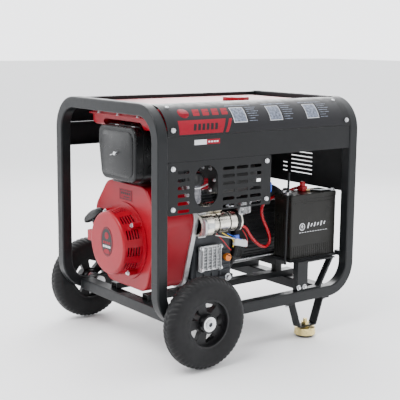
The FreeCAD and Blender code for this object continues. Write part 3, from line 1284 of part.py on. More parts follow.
def control_box():
    """A folded box behind a front plate, open towards the alternator."""
    back = f"({FRONT_Y} - front_wall - panel_depth)"
    shell = box(BOX_LEFT, back, BOX_Z, "panel_length", "panel_depth", "panel_height")
    hollow = box(f"{BOX_LEFT} + panel_wall", f"{back} - panel_wall", f"{BOX_Z} + panel_wall",
                 "panel_length - 2 * panel_wall", "panel_depth + 2 * panel_wall",
                 "panel_height - 2 * panel_wall")
    plate = rounded(box(f"{BOX_LEFT} - front_lip", f"{FRONT_Y} - front_wall",
                        f"{BOX_Z} - front_lip", "panel_length + front_lip", "front_wall",
                        "panel_height + 2 * front_lip"),
                    "sheet_corner", runs_along("Y"))
    pieces = [cut(shell, [hollow]), plate]
    for number in range(2):
        x = socket_x(number)
        pieces.append(tube("Y", x, f"{FRONT_Y} - bore_gap", SOCKET_Z, "socket_diameter / 2",
                           "socket_diameter / 2 - panel_wall", "socket_depth + bore_gap"))
    meter_z = f"{BOX_Z} + panel_height * meter_row"
    pieces.append(box(f"{BOX_RIGHT} - 1.6 * meter_size", f"{FRONT_Y} - bore_gap", meter_z,
                      "meter_size", "socket_depth / 3", "meter_size"))
    keep(fuse(pieces), "control_box")


def socket_x(number):
    return f"({BOX_RIGHT} - socket_pitch * {number + 0.75})"


def socket_flap(name, number):
    """A round lid over an outlet, hinged along the top of its rim."""
    low = f"{FRONT_Y} + socket_depth + side_gap"
    lid = rod("Y", socket_x(number), low, SOCKET_Z, "socket_diameter / 2", "flap_wall")
    knuckle = rod("X", f"{socket_x(number)} - socket_diameter / 4", f"{low} + hinge_radius",
                  f"{SOCKET_Z} + socket_diameter / 2 + hinge_radius / 2", "hinge_radius",
                  "socket_diameter / 2")
    keep(fuse([lid, knuckle]), name)


def weld_terminals():
    """Two insulated weld studs and the smaller earth stud below them."""
    studs = []
    for number, size in ((0, "terminal_radius"), (1, "terminal_radius"),
                         (2, "terminal_radius / 2")):
        x = f"{BOX_LEFT} + terminal_pitch * {number + 0.6}"
        z = f"{BOX_Z} + panel_height * stud_row"
        collar = rod("Y", x, FRONT_Y, z, size, "front_wall * 3")
        stud = rod("Y", x, FRONT_Y, z, f"({size}) / 3", "front_wall * 10")
        nut = hexagon("Y", x, f"{FRONT_Y} + front_wall * 3", z, f"({size}) * 1.5",
                      "front_wall * 2.5")
        studs.append(fuse([collar, stud, nut]))
    keep(group(studs), "weld_terminals")


def current_knob():
    x, z = f"{BOX_LEFT} + knob_diameter * 1.6", f"{BOX_Z} + panel_height * knob_row"
    skirt = rod("Y", x, f"{FRONT_Y} + side_gap", z, "knob_diameter / 2", "front_wall")
    grip = cone("Y", x, f"{FRONT_Y} + side_gap + front_wall", z, "knob_diameter * 0.4",
                "knob_diameter * 0.34", "knob_diameter / 2")
    mark = box(f"{x} - front_wall / 4", f"{FRONT_Y} + side_gap + front_wall", z,
               "front_wall / 2", "knob_diameter / 2 + front_wall / 3", "knob_diameter * 0.33")
    keep(fuse([skirt, grip, mark]), "current_knob")


def key_switch():
    """The turning barrel of the starter switch with its key in it."""
    x, z = f"{BOX_RIGHT} - panel_length * key_column", f"{BOX_Z} + panel_height * switch_row"
    barrel = rod("Y", x, f"{FRONT_Y} + side_gap", z, "key_radius", "front_wall * 2")
    key = box(f"{x} - front_wall / 3", f"{FRONT_Y} + side_gap + front_wall * 1.5",
              f"{z} - key_radius", "front_wall * 0.66", "key_radius * 2", "key_radius * 2")
    keep(fuse([barrel, rounded(key, "front_wall * 0.3", runs_along("X"))]), "key_switch")


def breaker_toggle():
    """The breaker's lever, on its pivot in front of the plate."""
    x, z = f"{BOX_RIGHT} - panel_length * breaker_column", f"{BOX_Z} + panel_height * switch_row"
    pivot_y = f"{FRONT_Y} + side_gap + toggle_width / 2"
    hub = rod("X", f"{x} - toggle_width / 2", pivot_y, z, "toggle_width / 2", "toggle_width")
    lever = box(f"{x} - toggle_width / 2", pivot_y, z, "toggle_width", "toggle_width * 1.6",
                "toggle_width * 0.4")
    keep(fuse([hub, lever]), "breaker_toggle")


# ---- the whole machine ------------------------------------------------------------------

def build():
    hoop("left_hoop", f"{LEFT} + {HALF}")
    hoop("right_hoop", f"{RIGHT} - {HALF}")
    rail("near_rail", f"{NEAR} + {HALF}")
    rail("far_rail", f"{FAR} - {HALF}")
    cross_tubes()
    bed_channels()
    for name, side in (("near", -1), ("far", 1)):
        tank_rail(f"{name}_tank_rail", side)
        top_cover(f"{name}_top_cover", side)
        wheel(name, side)
    vent_panel()
    end_panel()
    panel_bolts()
    stub_axles()
    wheel_clips()
    foot_brackets()
    feet()
    tank_straps()
    fuel_tank()
    fuel_cap()
    engine_mounts()
    crankcase()
    cylinder()
    rocker_cover()
    fan_shroud()
    front_plate()
    recoil_housing()
    recoil_pulley()
    recoil_handle()
    flywheel()
    crankshaft()
    air_cleaner()
    muffler()
    starter_motor()
    dipstick()
    adapter_flange()
    alternator_housing()
    alternator_rotor()
    battery()
    battery_tray()
    battery_cable()
    control_box()
    socket_flap("right_socket_flap", 0)
    socket_flap("left_socket_flap", 1)
    weld_terminals()
    current_knob()
    key_switch()
    breaker_toggle()


def check():
    """Stop if any object failed, or any sub-part has no sound shape."""
    failed = [item.Label for item in doc.Objects
              if "Invalid" in item.State or "Error" in item.State]
    for item in subparts:
        if item.Shape.isNull() or not item.Shape.isValid() or not item.Shape.Solids:
            failed.append(item.Label)
    if failed:
        raise ValueError("failed: " + ", ".join(failed))


def export():
    os.makedirs("parts", exist_ok=True)
    for item in subparts:
        item.Shape.exportStep(f"parts/{item.Label}.step")
        print(item.Label, len(item.Shape.Solids), round(item.Shape.Volume))


build()
doc.recompute()
check()
export()
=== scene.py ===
"""Looks of an open frame engine driven welder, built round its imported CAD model.

Lengths are in metres in the row frame: X to the right hoop, Y to the far side, Z up.
Each visible piece is one mesh or curve that rides on a body of the model.
"""
import json
import math

import bmesh
import bpy
from mathutils import Matrix, Vector


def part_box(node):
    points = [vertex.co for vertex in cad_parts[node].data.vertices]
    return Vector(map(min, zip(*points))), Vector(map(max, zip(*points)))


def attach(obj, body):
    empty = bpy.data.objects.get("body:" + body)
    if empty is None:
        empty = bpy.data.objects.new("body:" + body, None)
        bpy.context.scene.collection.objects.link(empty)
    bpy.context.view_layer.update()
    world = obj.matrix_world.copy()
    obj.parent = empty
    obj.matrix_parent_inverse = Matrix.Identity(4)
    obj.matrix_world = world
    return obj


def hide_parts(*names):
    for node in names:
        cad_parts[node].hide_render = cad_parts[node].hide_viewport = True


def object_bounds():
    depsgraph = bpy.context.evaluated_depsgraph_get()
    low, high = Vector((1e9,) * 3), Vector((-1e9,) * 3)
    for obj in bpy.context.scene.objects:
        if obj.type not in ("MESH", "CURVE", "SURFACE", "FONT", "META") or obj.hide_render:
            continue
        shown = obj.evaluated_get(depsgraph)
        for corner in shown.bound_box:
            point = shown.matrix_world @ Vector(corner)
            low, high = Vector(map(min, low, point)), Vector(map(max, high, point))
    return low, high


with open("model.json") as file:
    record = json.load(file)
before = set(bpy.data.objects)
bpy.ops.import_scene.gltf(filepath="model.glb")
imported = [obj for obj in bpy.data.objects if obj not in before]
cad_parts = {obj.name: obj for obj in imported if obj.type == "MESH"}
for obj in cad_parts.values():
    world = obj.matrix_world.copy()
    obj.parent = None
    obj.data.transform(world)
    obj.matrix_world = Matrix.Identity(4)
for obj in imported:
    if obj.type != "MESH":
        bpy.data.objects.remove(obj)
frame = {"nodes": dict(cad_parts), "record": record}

MM = 0.001
CAD_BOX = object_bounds()
NODES = frame["nodes"]


# ---------------------------------------------------------------- materials

class Look:
    """A material whose colour, roughness and relief come from procedural nodes."""

    def __init__(self, name):
        self.material = bpy.data.materials.new(name)
        self.material.use_nodes = True
        self.tree = self.material.node_tree
        self.shader = self.tree.nodes["Principled BSDF"]
        self.place = self.node("ShaderNodeTexCoord").outputs["Object"]

    def node(self, kind, **settings):
        made = self.tree.nodes.new(kind)
        for key, value in settings.items():
            setattr(made, key, value)
        return made

    def link(self, output, socket):
        self.tree.links.new(output, socket)

    def noise(self, scale, detail=3.0, stretch=(1, 1, 1)):
        mapping = self.node("ShaderNodeMapping")
        mapping.inputs["Scale"].default_value = stretch
        self.link(self.place, mapping.inputs["Vector"])
        noise = self.node("ShaderNodeTexNoise")
        noise.inputs["Scale"].default_value = scale
        noise.inputs["Detail"].default_value = detail
        self.link(mapping.outputs["Vector"], noise.inputs["Vector"])
        return noise.outputs["Fac"]

    def mapped(self, value, low, high, to_low, to_high):
        ranged = self.node("ShaderNodeMapRange")
        self.link(value, ranged.inputs["Value"])
        for key, number in (("From Min", low), ("From Max", high), ("To Min", to_low), ("To Max", to_high)):
            ranged.inputs[key].default_value = number
        return ranged.outputs["Result"]

    def product(self, first, second):
        times = self.node("ShaderNodeMath", operation="MULTIPLY")
        self.link(first, times.inputs[0])
        self.link(second, times.inputs[1])
        return times.outputs[0]

    def mixed(self, factor, first, second):
        mix = self.node("ShaderNodeMix", data_type="RGBA")
        self.link(factor, mix.inputs["Factor"])
        for socket, colour in (("A", first), ("B", second)):
            target = [s for s in mix.inputs if s.name == socket and s.type == "RGBA"][0]
            if isinstance(colour, tuple):
                target.default_value = (*colour, 1)
            else:
                self.link(colour, target)
        return [s for s in mix.outputs if s.type == "RGBA"][0]

    def edges(self, radius):
        """The normal rounded over that radius, and how much of an edge each point is."""
        rounded = self.node("ShaderNodeBevel", samples=4)
        rounded.inputs["Radius"].default_value = radius
        flat = self.node("ShaderNodeNewGeometry")
        dot = self.node("ShaderNodeVectorMath", operation="DOT_PRODUCT")
        self.link(rounded.outputs["Normal"], dot.inputs[0])
        self.link(flat.outputs["Normal"], dot.inputs[1])
        return rounded.outputs["Normal"], self.mapped(dot.outputs["Value"], 0.999, 0.90, 0.0, 1.0)


def shade(colour, by):
    return tuple(min(1.0, max(0.0, c * by)) for c in colour)


def look(name, colour, rough, metal=0.0, tint=0.12, patch=18.0, grain=1400.0, bump=0.05, depth=0.2,
         stretch=(1, 1, 1), wear=0.0, worn=(0.35, 0.35, 0.36), edge=0.8, coat=0.0, dust=0.0,
         specular=0.5, spread=0.08, sheen=0.0):
    """A finish with patchy colour, uneven gloss, fine grain, worn edges and a little dust."""
    made = Look(name)
    shader = made.shader
    patches = made.noise(patch, 4.0, stretch)
    base = made.mixed(made.mapped(patches, 0.3, 0.7, 0.0, 1.0), shade(colour, 1 - tint), shade(colour, 1 + tint))
    rounded, edginess = made.edges(edge * MM)
    if wear:
        rubbed = made.mapped(made.noise(95.0, 6.0), 0.42, 0.62, 0.0, wear)
        base = made.mixed(made.product(edginess, rubbed), base, worn)
    if dust:
        up = made.node("ShaderNodeSeparateXYZ")
        made.link(made.node("ShaderNodeNewGeometry").outputs["Normal"], up.inputs[0])
        settled = made.mapped(up.outputs["Z"], 0.3, 1.0, 0.0, dust)
        base = made.mixed(made.product(settled, made.noise(40.0, 6.0)), base, (0.42, 0.40, 0.37))
    made.link(base, shader.inputs["Base Color"])
    gloss = made.noise(patch * 3.0, 5.0, stretch)
    low, high = max(0.03, rough - spread), min(1.0, rough + spread)
    made.link(made.mapped(gloss, 0.3, 0.7, low, high), shader.inputs["Roughness"])
    relief = made.node("ShaderNodeBump")
    relief.inputs["Strength"].default_value = bump
    relief.inputs["Distance"].default_value = depth * MM
    made.link(made.noise(grain, 3.0, stretch), relief.inputs["Height"])
    made.link(rounded, relief.inputs["Normal"])
    made.link(relief.outputs["Normal"], shader.inputs["Normal"])
    shader.inputs["Metallic"].default_value = metal
    shader.inputs["Coat Weight"].default_value = coat
    shader.inputs["Coat Roughness"].default_value = 0.06
    shader.inputs["Specular IOR Level"].default_value = specular
    shader.inputs["Sheen Weight"].default_value = sheen
    return made.material


LOOKS = {
    "frame_paint": look("frame_paint", (0.0075, 0.0085, 0.0095), 0.36, tint=0.12, grain=900.0, bump=0.10,
                        wear=0.25, worn=(0.06, 0.062, 0.066), edge=1.2, dust=0.008, specular=0.24),
    "panel_paint": look("panel_paint", (0.0075, 0.008, 0.0088), 0.44, tint=0.12, grain=1100.0, bump=0.10,
                        wear=0.25, worn=(0.06, 0.062, 0.066), edge=0.7, dust=0.008, specular=0.22),
    "red_paint": look("red_paint", (0.27, 0.0006, 0.0095), 0.34, tint=0.06, grain=320.0, bump=0.03,
                      edge=1.4, coat=0.0, spread=0.05, specular=0.30),
    "zinc_steel": look("zinc_steel", (0.66, 0.67, 0.69), 0.30, metal=1.0, tint=0.15, grain=2400.0, bump=0.06),
    "bright_steel": look("bright_steel", (0.72, 0.72, 0.73), 0.22, metal=1.0, tint=0.10, grain=1800.0,
                         bump=0.08, stretch=(1, 6, 1)),
    "yellow_zinc": look("yellow_zinc", (0.74, 0.60, 0.26), 0.32, metal=1.0, tint=0.22, patch=70.0,
                        grain=1500.0, bump=0.08),
    "gold_zinc": look("gold_zinc", (0.86, 0.82, 0.72), 0.27, metal=1.0, tint=0.16, patch=45.0, grain=1500.0,
                      bump=0.06),
    "tyre_rubber": look("tyre_rubber", (0.0065, 0.0065, 0.0072), 0.55, tint=0.25, patch=30.0, grain=1600.0,
                        bump=0.16, dust=0.012, specular=0.22),
    "rubber": look("rubber", (0.009, 0.009, 0.009), 0.6, tint=0.2, grain=1500.0, bump=0.2),
    "rim_plastic": look("rim_plastic", (0.0075, 0.0075, 0.0085), 0.40, tint=0.15, grain=2200.0, bump=0.15,
                        dust=0.010, specular=0.26),
    "black_plastic": look("black_plastic", (0.0055, 0.006, 0.0065), 0.30, tint=0.15, grain=2200.0, bump=0.12,
                          edge=1.0, spread=0.05, specular=0.28),
    "battery_plastic": look("battery_plastic", (0.0075, 0.0072, 0.0058), 0.34, tint=0.18, grain=1700.0,
                            bump=0.12, specular=0.25),
    "orange_plastic": look("orange_plastic", (0.90, 0.24, 0.02), 0.38, tint=0.08, grain=1500.0, bump=0.06),
    "filter_paper": look("filter_paper", (0.72, 0.63, 0.42), 0.9, tint=0.10, grain=2600.0, bump=0.3),
    "cast_aluminium": look("cast_aluminium", (0.56, 0.57, 0.58), 0.42, metal=0.85, tint=0.16, patch=26.0,
                           grain=700.0, bump=0.28, depth=0.35, wear=0.5, worn=(0.8, 0.8, 0.8)),
    "cast_iron": look("cast_iron", (0.035, 0.038, 0.043), 0.48, metal=0.4, tint=0.20, grain=800.0, bump=0.3,
                      depth=0.35),
    "muffler_black": look("muffler_black", (0.009, 0.009, 0.009), 0.55, tint=0.25, patch=35.0, grain=900.0,
                          bump=0.2),
    "alternator_black": look("alternator_black", (0.0085, 0.009, 0.010), 0.42, tint=0.15, grain=900.0, bump=0.2,
                             depth=0.3, wear=0.2, worn=(0.05, 0.05, 0.05), specular=0.25),
    "red_cable": look("red_cable", (0.38, 0.002, 0.010), 0.28, tint=0.06, grain=900.0, bump=0.05),
    "brass": look("brass", (0.80, 0.58, 0.26), 0.25, metal=1.0, tint=0.12, grain=1500.0, bump=0.08),
}
PRINT_WHITE = look("print_white", (0.62, 0.63, 0.66), 0.45, tint=0.05, grain=1500.0, bump=0.02, edge=0.1)
PRINT_RED = look("print_red", (0.22, 0.001, 0.012), 0.45, tint=0.04, grain=1500.0, bump=0.02, edge=0.1,
                 specular=0.2)
PRINT_DARK = look("print_dark", (0.0065, 0.0065, 0.0085), 0.38, tint=0.08, grain=1500.0, bump=0.02, edge=0.1,
                  specular=0.25)
PRINT_GREY = look("print_grey", (0.11, 0.13, 0.18), 0.42, tint=0.8, patch=160.0, grain=1500.0, bump=0.02,
                  edge=0.1)


def dress_frame():
    """Gives every CAD node the finish of its own material slot."""
    for part in frame["record"]["subparts"]:
        node = NODES[part["node"]]
        for holder in node.material_slots:
            holder.material = LOOKS[part["material_slot"]]


# ---------------------------------------------------------------- mesh tools

def at(origin, normal, up=(0, 0, 1)):
    """The matrix that lays local XY on a face: local Z is the face's normal, local Y is up."""
    z = Vector(normal).normalized()
    y = Vector(up) - z * Vector(up).dot(z)
    y.normalize()
    x = y.cross(z)
    turned = Matrix((x, y, z)).transposed().to_4x4()
    return Matrix.Translation(Vector(origin)) @ turned


class Piece:
    """Gathers faces into one mesh, then makes it a visible piece."""

    def __init__(self, name):
        self.name = name
        self.mesh = bmesh.new()

    def ring(self, points):
        return [self.mesh.verts.new(p) for p in points]

    def skin(self, first, second):
        """Faces between two closed rings of the same count."""
        count = len(first)
        for i in range(count):
            j = (i + 1) % count
            self.mesh.faces.new((first[i], first[j], second[j], second[i]))

    def slab(self, outline, where, low, high):
        """A prism of a flat outline between two heights over a face."""
        bottom = self.ring([where @ Vector((x, y, low)) for x, y in outline])
        top = self.ring([where @ Vector((x, y, high)) for x, y in outline])
        self.skin(bottom, top)
        self.mesh.faces.new(reversed(bottom))
        self.mesh.faces.new(top)

    def turned(self, profile, where, steps=32, closed=False):
        """A surface of revolution: the profile is pairs of radius and height."""
        rings = []
        for radius, height in profile:
            angles = [2 * math.pi * i / steps for i in range(steps)]
            rings.append(self.ring([where @ Vector((radius * math.cos(a), radius * math.sin(a), height))
                                    for a in angles]))
        for first, second in zip(rings, rings[1:]):
            self.skin(first, second)
        if closed:
            self.skin(rings[-1], rings[0])
        else:
            self.mesh.faces.new(reversed(rings[0]))
            self.mesh.faces.new(rings[-1])

    def tube(self, path, radius, sides=12):
        """A round bar along a list of points, closed at both ends."""
        points = [Vector(p) for p in path]
        rings = []
        side = None
        for i, point in enumerate(points):
            ahead = (points[min(i + 1, len(points) - 1)] - points[max(i - 1, 0)]).normalized()
            if side is None:
                side = ahead.orthogonal().normalized()
            side = (side - ahead * side.dot(ahead)).normalized()
            other = ahead.cross(side)
            rings.append(self.ring([point + (side * math.cos(a) + other * math.sin(a)) * radius
                                    for a in [2 * math.pi * k / sides for k in range(sides)]]))
        for first, second in zip(rings, rings[1:]):
            self.skin(first, second)
        self.mesh.faces.new(reversed(rings[0]))
        self.mesh.faces.new(rings[-1])

    def bolt(self, where, across, washer=True):
        """A hexagon head, chamfered at its top, on a washer."""
        radius = across / math.sqrt(3)
        base = 0.0
        if washer:
            base = across * 0.12
            rim = across * 0.85
            self.turned([(rim, 0), (rim, base * 0.7), (rim * 0.96, base)], where, 24)
        height = across * 0.62
        corner = [(math.cos(math.pi / 3 * i), math.sin(math.pi / 3 * i)) for i in range(6)]
        rings = [self.ring([where @ Vector((x * radius * s, y * radius * s, z)) for x, y in corner])
                 for s, z in ((1, base), (1, base + height * 0.82), (0.86, base + height))]
        for first, second in zip(rings, rings[1:]):
            self.skin(first, second)
        self.mesh.faces.new(reversed(rings[0]))
        self.mesh.faces.new(rings[-1])

    def screw(self, where, radius):
        """A round domed head with a cross recess drawn by four raised lobes."""
        self.turned([(radius, 0), (radius, radius * 0.25), (radius * 0.86, radius * 0.5),
                     (radius * 0.55, radius * 0.66), (radius * 0.5, radius * 0.42)], where, 24)
        for i in range(4):
            turn = where @ Matrix.Rotation(math.pi / 2 * i + math.pi / 4, 4, "Z")
            lobe = [(radius * 0.12, -radius * 0.10), (radius * 0.5, -radius * 0.24),
                    (radius * 0.5, radius * 0.24), (radius * 0.12, radius * 0.10)]
            self.slab(lobe, turn, radius * 0.40, radius * 0.66)

    def done(self, material, body, replaces=(), bevel=0.0, smooth=35.0, subdivide=0):
        bmesh.ops.remove_doubles(self.mesh, verts=self.mesh.verts, dist=1e-7)
        bmesh.ops.recalc_face_normals(self.mesh, faces=self.mesh.faces)
        data = bpy.data.meshes.new(self.name)
        for face in self.mesh.faces:
            face.smooth = True
        for line in self.mesh.edges:
            if len(line.link_faces) == 2 and line.calc_face_angle(0) > math.radians(smooth):
                line.smooth = False
        self.mesh.to_mesh(data)
        self.mesh.free()
        data.materials.append(material)
        made = bpy.data.objects.new(self.name, data)
        bpy.context.scene.collection.objects.link(made)
        if bevel:
            soften = made.modifiers.new("soften", "BEVEL")
            soften.width = bevel
            soften.segments = 2
            soften.limit_method = "ANGLE"
            soften.angle_limit = math.radians(30)
        if subdivide:
            rounding = made.modifiers.new("rounding", "SUBSURF")
            rounding.levels = subdivide
            rounding.render_levels = subdivide
        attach(made, body)
        if replaces:
            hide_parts(*replaces)
        return made


def rectangle(width, height, radius=0.0, centre=(0.0, 0.0), steps=5):
    """The outline of a rectangle with rounded corners."""
    if radius <= 0:
        return [(centre[0] + x * width / 2, centre[1] + y * height / 2)
                for x, y in ((-1, -1), (1, -1), (1, 1), (-1, 1))]
    points = []
    for k, (x, y) in enumerate(((1, 1), (-1, 1), (-1, -1), (1, -1))):
        for i in range(steps + 1):
            angle = math.pi / 2 * (k + i / steps)
            points.append((centre[0] + x * (width / 2 - radius) + radius * math.cos(angle),
                           centre[1] + y * (height / 2 - radius) + radius * math.sin(angle)))
    return points


def mm(*points):
    """An outline or profile given in millimetres."""
    return [tuple(number * MM for number in point) for point in points]


def oval(width, height, steps=36):
    return [(width / 2 * math.cos(2 * math.pi * i / steps), height / 2 * math.sin(2 * math.pi * i / steps))
            for i in range(steps)]


def tyre(side):
    """A tyre with a crowned section, a chevron tread, and moulded rings on its walls."""
    low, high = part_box(f"{side}_tyre")
    centre = (low + high) / 2
    crown = (high.z - low.z) / 2
    half_width = (high.y - low.y) / 2
    rim_low, rim_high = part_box(f"{side}_rim")
    bead = (rim_high.z - rim_low.z) / 2 + 0.5 * MM
    hub = (bead + crown) / 2 + 1.5 * MM
    half_height = crown - hub
    seat = bead - 1.5 * MM
    around, across = 420, 56
    chevrons = 54
    groove_depth = 1.5 * MM
    groove_share = 0.24
    start = math.radians(128)
    made = Piece(f"{side}_tyre_tread")
    rings = []
    for j in range(across + 1):
        turn = -start + 2 * start * j / across
        squareness = 0.82
        y = half_width * math.copysign(abs(math.sin(turn)) ** squareness, turn)
        reach = half_height if math.cos(turn) > 0 else (hub - seat) / abs(math.cos(start)) ** squareness
        r = hub + reach * math.copysign(abs(math.cos(turn)) ** squareness, math.cos(turn))
        shoulder = max(0.0, min(1.0, (r - (crown - 13 * MM)) / (6 * MM)))
        wall_ring = 0.8 * MM * (math.exp(-((r - bead - 5 * MM) / (1.6 * MM)) ** 2)
                                + math.exp(-((r - bead - 15 * MM) / (1.0 * MM)) ** 2))
        outward = Vector((math.cos(turn) * half_width, math.sin(turn) * half_height)).normalized()
        points = []
        for i in range(around):
            angle = 2 * math.pi * i / around
            lean = abs(y) / half_width * 0.85
            row = 0.5 if y > 0 else 0.0
            phase = (angle / (2 * math.pi) * chevrons + lean + row) % 1.0
            cut_edge = min(phase, 1 - phase) / groove_share
            cut = max(0.0, 1 - cut_edge ** 2) if cut_edge < 1 else 0.0
            centre_line = max(0.0, 1 - (abs(y) / (1.8 * MM)) ** 2) if abs(y) < 1.8 * MM else 0.0
            sink = groove_depth * shoulder * max(min(1.0, cut * 1.8), centre_line)
            rr = r - outward.x * (sink - wall_ring * (r < crown - 16 * MM))
            yy = y - outward.y * sink
            points.append((centre.x + rr * math.cos(angle), centre.y + yy, centre.z + rr * math.sin(angle)))
        rings.append(made.ring(points))
    for first, second in zip(rings, rings[1:]):
        made.skin(first, second)
    made.skin(rings[-1], rings[0])
    made.done(LOOKS["tyre_rubber"], f"{side}_wheel", replaces=(f"{side}_tyre",), smooth=50)


# ---------------------------------------------------------------- top cover print

def on_cover(x, angle, lift):
    """A point over the near top cover, by its X and its angle up the bend."""
    low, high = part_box("near_top_cover")
    bend = 76 * MM
    centre_y, centre_z = low.y + bend, high.z - bend
    reach = bend + lift
    return Vector((x, centre_y - reach * math.cos(angle), centre_z + reach * math.sin(angle)))


def cover_patch(piece, corners, lift=0.25 * MM, steps=12):
    """A thin printed patch that follows the bend. The corners are (X in mm, angle in degrees):
    lower left, lower right, upper right, upper left."""
    a, b, c, d = [Vector((x * MM, math.radians(t))) for x, t in corners]
    under, over = [], []
    for i in range(steps + 1):
        up = i / steps
        left, right = a.lerp(d, up), b.lerp(c, up)
        for store, height in ((under, 0.02 * MM), (over, lift)):
            store.append([piece.mesh.verts.new(on_cover(p.x, p.y, height)) for p in (left, right)])
    for store in (under, over):
        for first, second in zip(store, store[1:]):
            piece.mesh.faces.new((first[0], first[1], second[1], second[0]))
    for k in (0, 1):
        for i in range(steps):
            piece.mesh.faces.new((under[i][k], under[i + 1][k], over[i + 1][k], over[i][k]))
    for i in (0, steps):
        piece.mesh.faces.new((under[i][0], under[i][1], over[i][1], over[i][0]))


def cover_print():
    """A red disc and bars, a red band with dark bars, and three picture panels with lines."""
    sheet = Piece("cover_print_sheet")
    cover_patch(sheet, [(-300, 1), (300, 1), (300, 72), (-300, 72)], lift=0.12 * MM, steps=20)
    sheet.done(PRINT_DARK, "chassis")

    red = Piece("cover_print_red")
    cover_patch(red, [(-291, 1), (-150, 1), (-134, 29), (-291, 29)])
    cover_patch(red, [(-141, 1), (-131, 1), (-112, 29), (-122, 29)])
    disc_x, disc_angle, disc_radius, arc_per_degree, strips = -264.0, 46.0, 17.0, 1.4, 12
    heights = [math.sin(math.radians(170) * (i / strips - 0.5)) for i in range(strips + 1)]
    for low, high in zip(heights, heights[1:]):
        corners = []
        for height, way in ((low, -1), (low, 1), (high, 1), (high, -1)):
            corners.append((disc_x + way * disc_radius * math.sqrt(1 - height ** 2),
                            disc_angle + height * disc_radius / arc_per_degree))
        cover_patch(red, corners, steps=2)
    bars, left, span, pitch = 4, -236.0, 21.0, 31.5
    for k in range(bars):
        start = left + k * pitch
        cover_patch(red, [(start, 38), (start + span, 38), (start + span + 5, 55), (start + 5, 55)])
    red.done(PRINT_RED, "chassis")

    dark = Piece("cover_print_dark")
    for k in range(bars):
        start = left + k * pitch
        cover_patch(dark, [(start + 12, 46.2), (start + span + 6, 46.2), (start + span + 6, 47.6),
                           (start + 12, 47.6)], lift=0.34 * MM, steps=4)
    for k in range(6):
        start = -246 + k * 14
        cover_patch(dark, [(start, 8), (start + 9, 8), (start + 13, 21), (start + 4, 21)], lift=0.34 * MM,
                    steps=4)
    dark.done(PRINT_DARK, "chassis")

    white = Piece("cover_print_white")
    grey = Piece("cover_print_pictures")
    panels = (-107, 21, 160)
    for start in panels:
        cover_patch(grey, [(start - 8, 60.5), (start + 80, 60.5), (start + 80, 62.5), (start - 8, 62.5)], steps=3)
        cover_patch(white, [(start, 19), (start + 46, 19), (start + 46, 55), (start, 55)], lift=0.20 * MM)
        cover_patch(grey, [(start + 1.5, 20.2), (start + 44.5, 20.2), (start + 44.5, 53.8), (start + 1.5, 53.8)],
                    lift=0.30 * MM)
        for row, length in enumerate((38, 30, 40, 33, 36, 22, 28)):
            t = 53 - row * 5.4
            cover_patch(grey, [(start + 54, t), (start + 54 + length, t), (start + 54 + length, t + 1.3),
                               (start + 54, t + 1.3)], steps=3)
    white.done(PRINT_WHITE, "chassis")
    grey.done(PRINT_GREY, "chassis")

    badge_red = Piece("rail_sticker_red")
    badge_white = Piece("rail_sticker_white")
    low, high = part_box("near_tank_rail")
    face = at((-0.201, low.y, (low.z + high.z) / 2 + 15 * MM), (0, -1, 0))
    badge_red.slab(rectangle(44 * MM, 13 * MM, centre=(20 * MM, 0)), face, 0.02 * MM, 0.2 * MM)
    badge_red.done(PRINT_RED, "chassis")
    badge_white.slab(rectangle(40 * MM, 13 * MM, centre=(-22 * MM, 0)), face, 0.02 * MM, 0.2 * MM)
    for k in range(4):
        badge_white.slab(rectangle(6 * MM, 4 * MM, centre=((6 + 9 * k) * MM, 0)), face, 0.2 * MM, 0.3 * MM)
    badge_white.done(PRINT_WHITE, "chassis")


# ---------------------------------------------------------------- cables

def wire(name, points, radius, material, body="chassis"):
    """A round lead on one smooth curve. The points are its control points, in metres."""
    data = bpy.data.curves.new(name, "CURVE")
    data.dimensions = "3D"
    line = data.splines.new("NURBS")
    line.points.add(len(points) - 1)
    for holder, point in zip(line.points, points):
        holder.co = (*point, 1)
    line.order_u = 3
    line.use_endpoint_u = True
    line.resolution_u = 10
    plain = bpy.data.objects.new(name + "_line", data)
    bpy.context.scene.collection.objects.link(plain)
    bpy.context.view_layer.update()
    along = [v.co.copy() for v in bpy.data.meshes.new_from_object(plain).vertices]
    bpy.data.objects.remove(plain)
    data.bevel_depth = radius
    data.bevel_resolution = 4
    data.use_fill_caps = True
    data.materials.append(material)
    made = bpy.data.objects.new(name, data)
    bpy.context.scene.collection.objects.link(made)
    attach(made, body)
    return made


def points_mm(*spots):
    return [Vector(spot) * MM for spot in spots]


def battery_lead():
    """The red lead loops from the starter to the battery's far post."""
    corner = Vector((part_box("near_rail")[0].x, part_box("near_rail")[0].y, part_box("near_rail")[0].z))
    motor = Vector((-9, -170, 338)) * MM
    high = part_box("battery")[1]
    post = Vector((226.08 * MM, -170.3 * MM, high.z - 7 * MM))
    run = 18 * MM
    route = [motor, motor + Vector((run, 0, 0))]
    route += [corner + spot for spot in points_mm(
        (386, 91, 196), (412, 86, 168), (443, 86, 156), (464, 90, 173), (457, 97, 208), (440, 104, 244),
        (446, 114, 276), (482, 121, 292), (528, 122, 300), (562, 120, 310))]
    route += [post + Vector((0, run, 0)), post]
    lead = wire("battery_lead", route, 4.5 * MM, LOOKS["red_cable"])
    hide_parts("battery_cable")


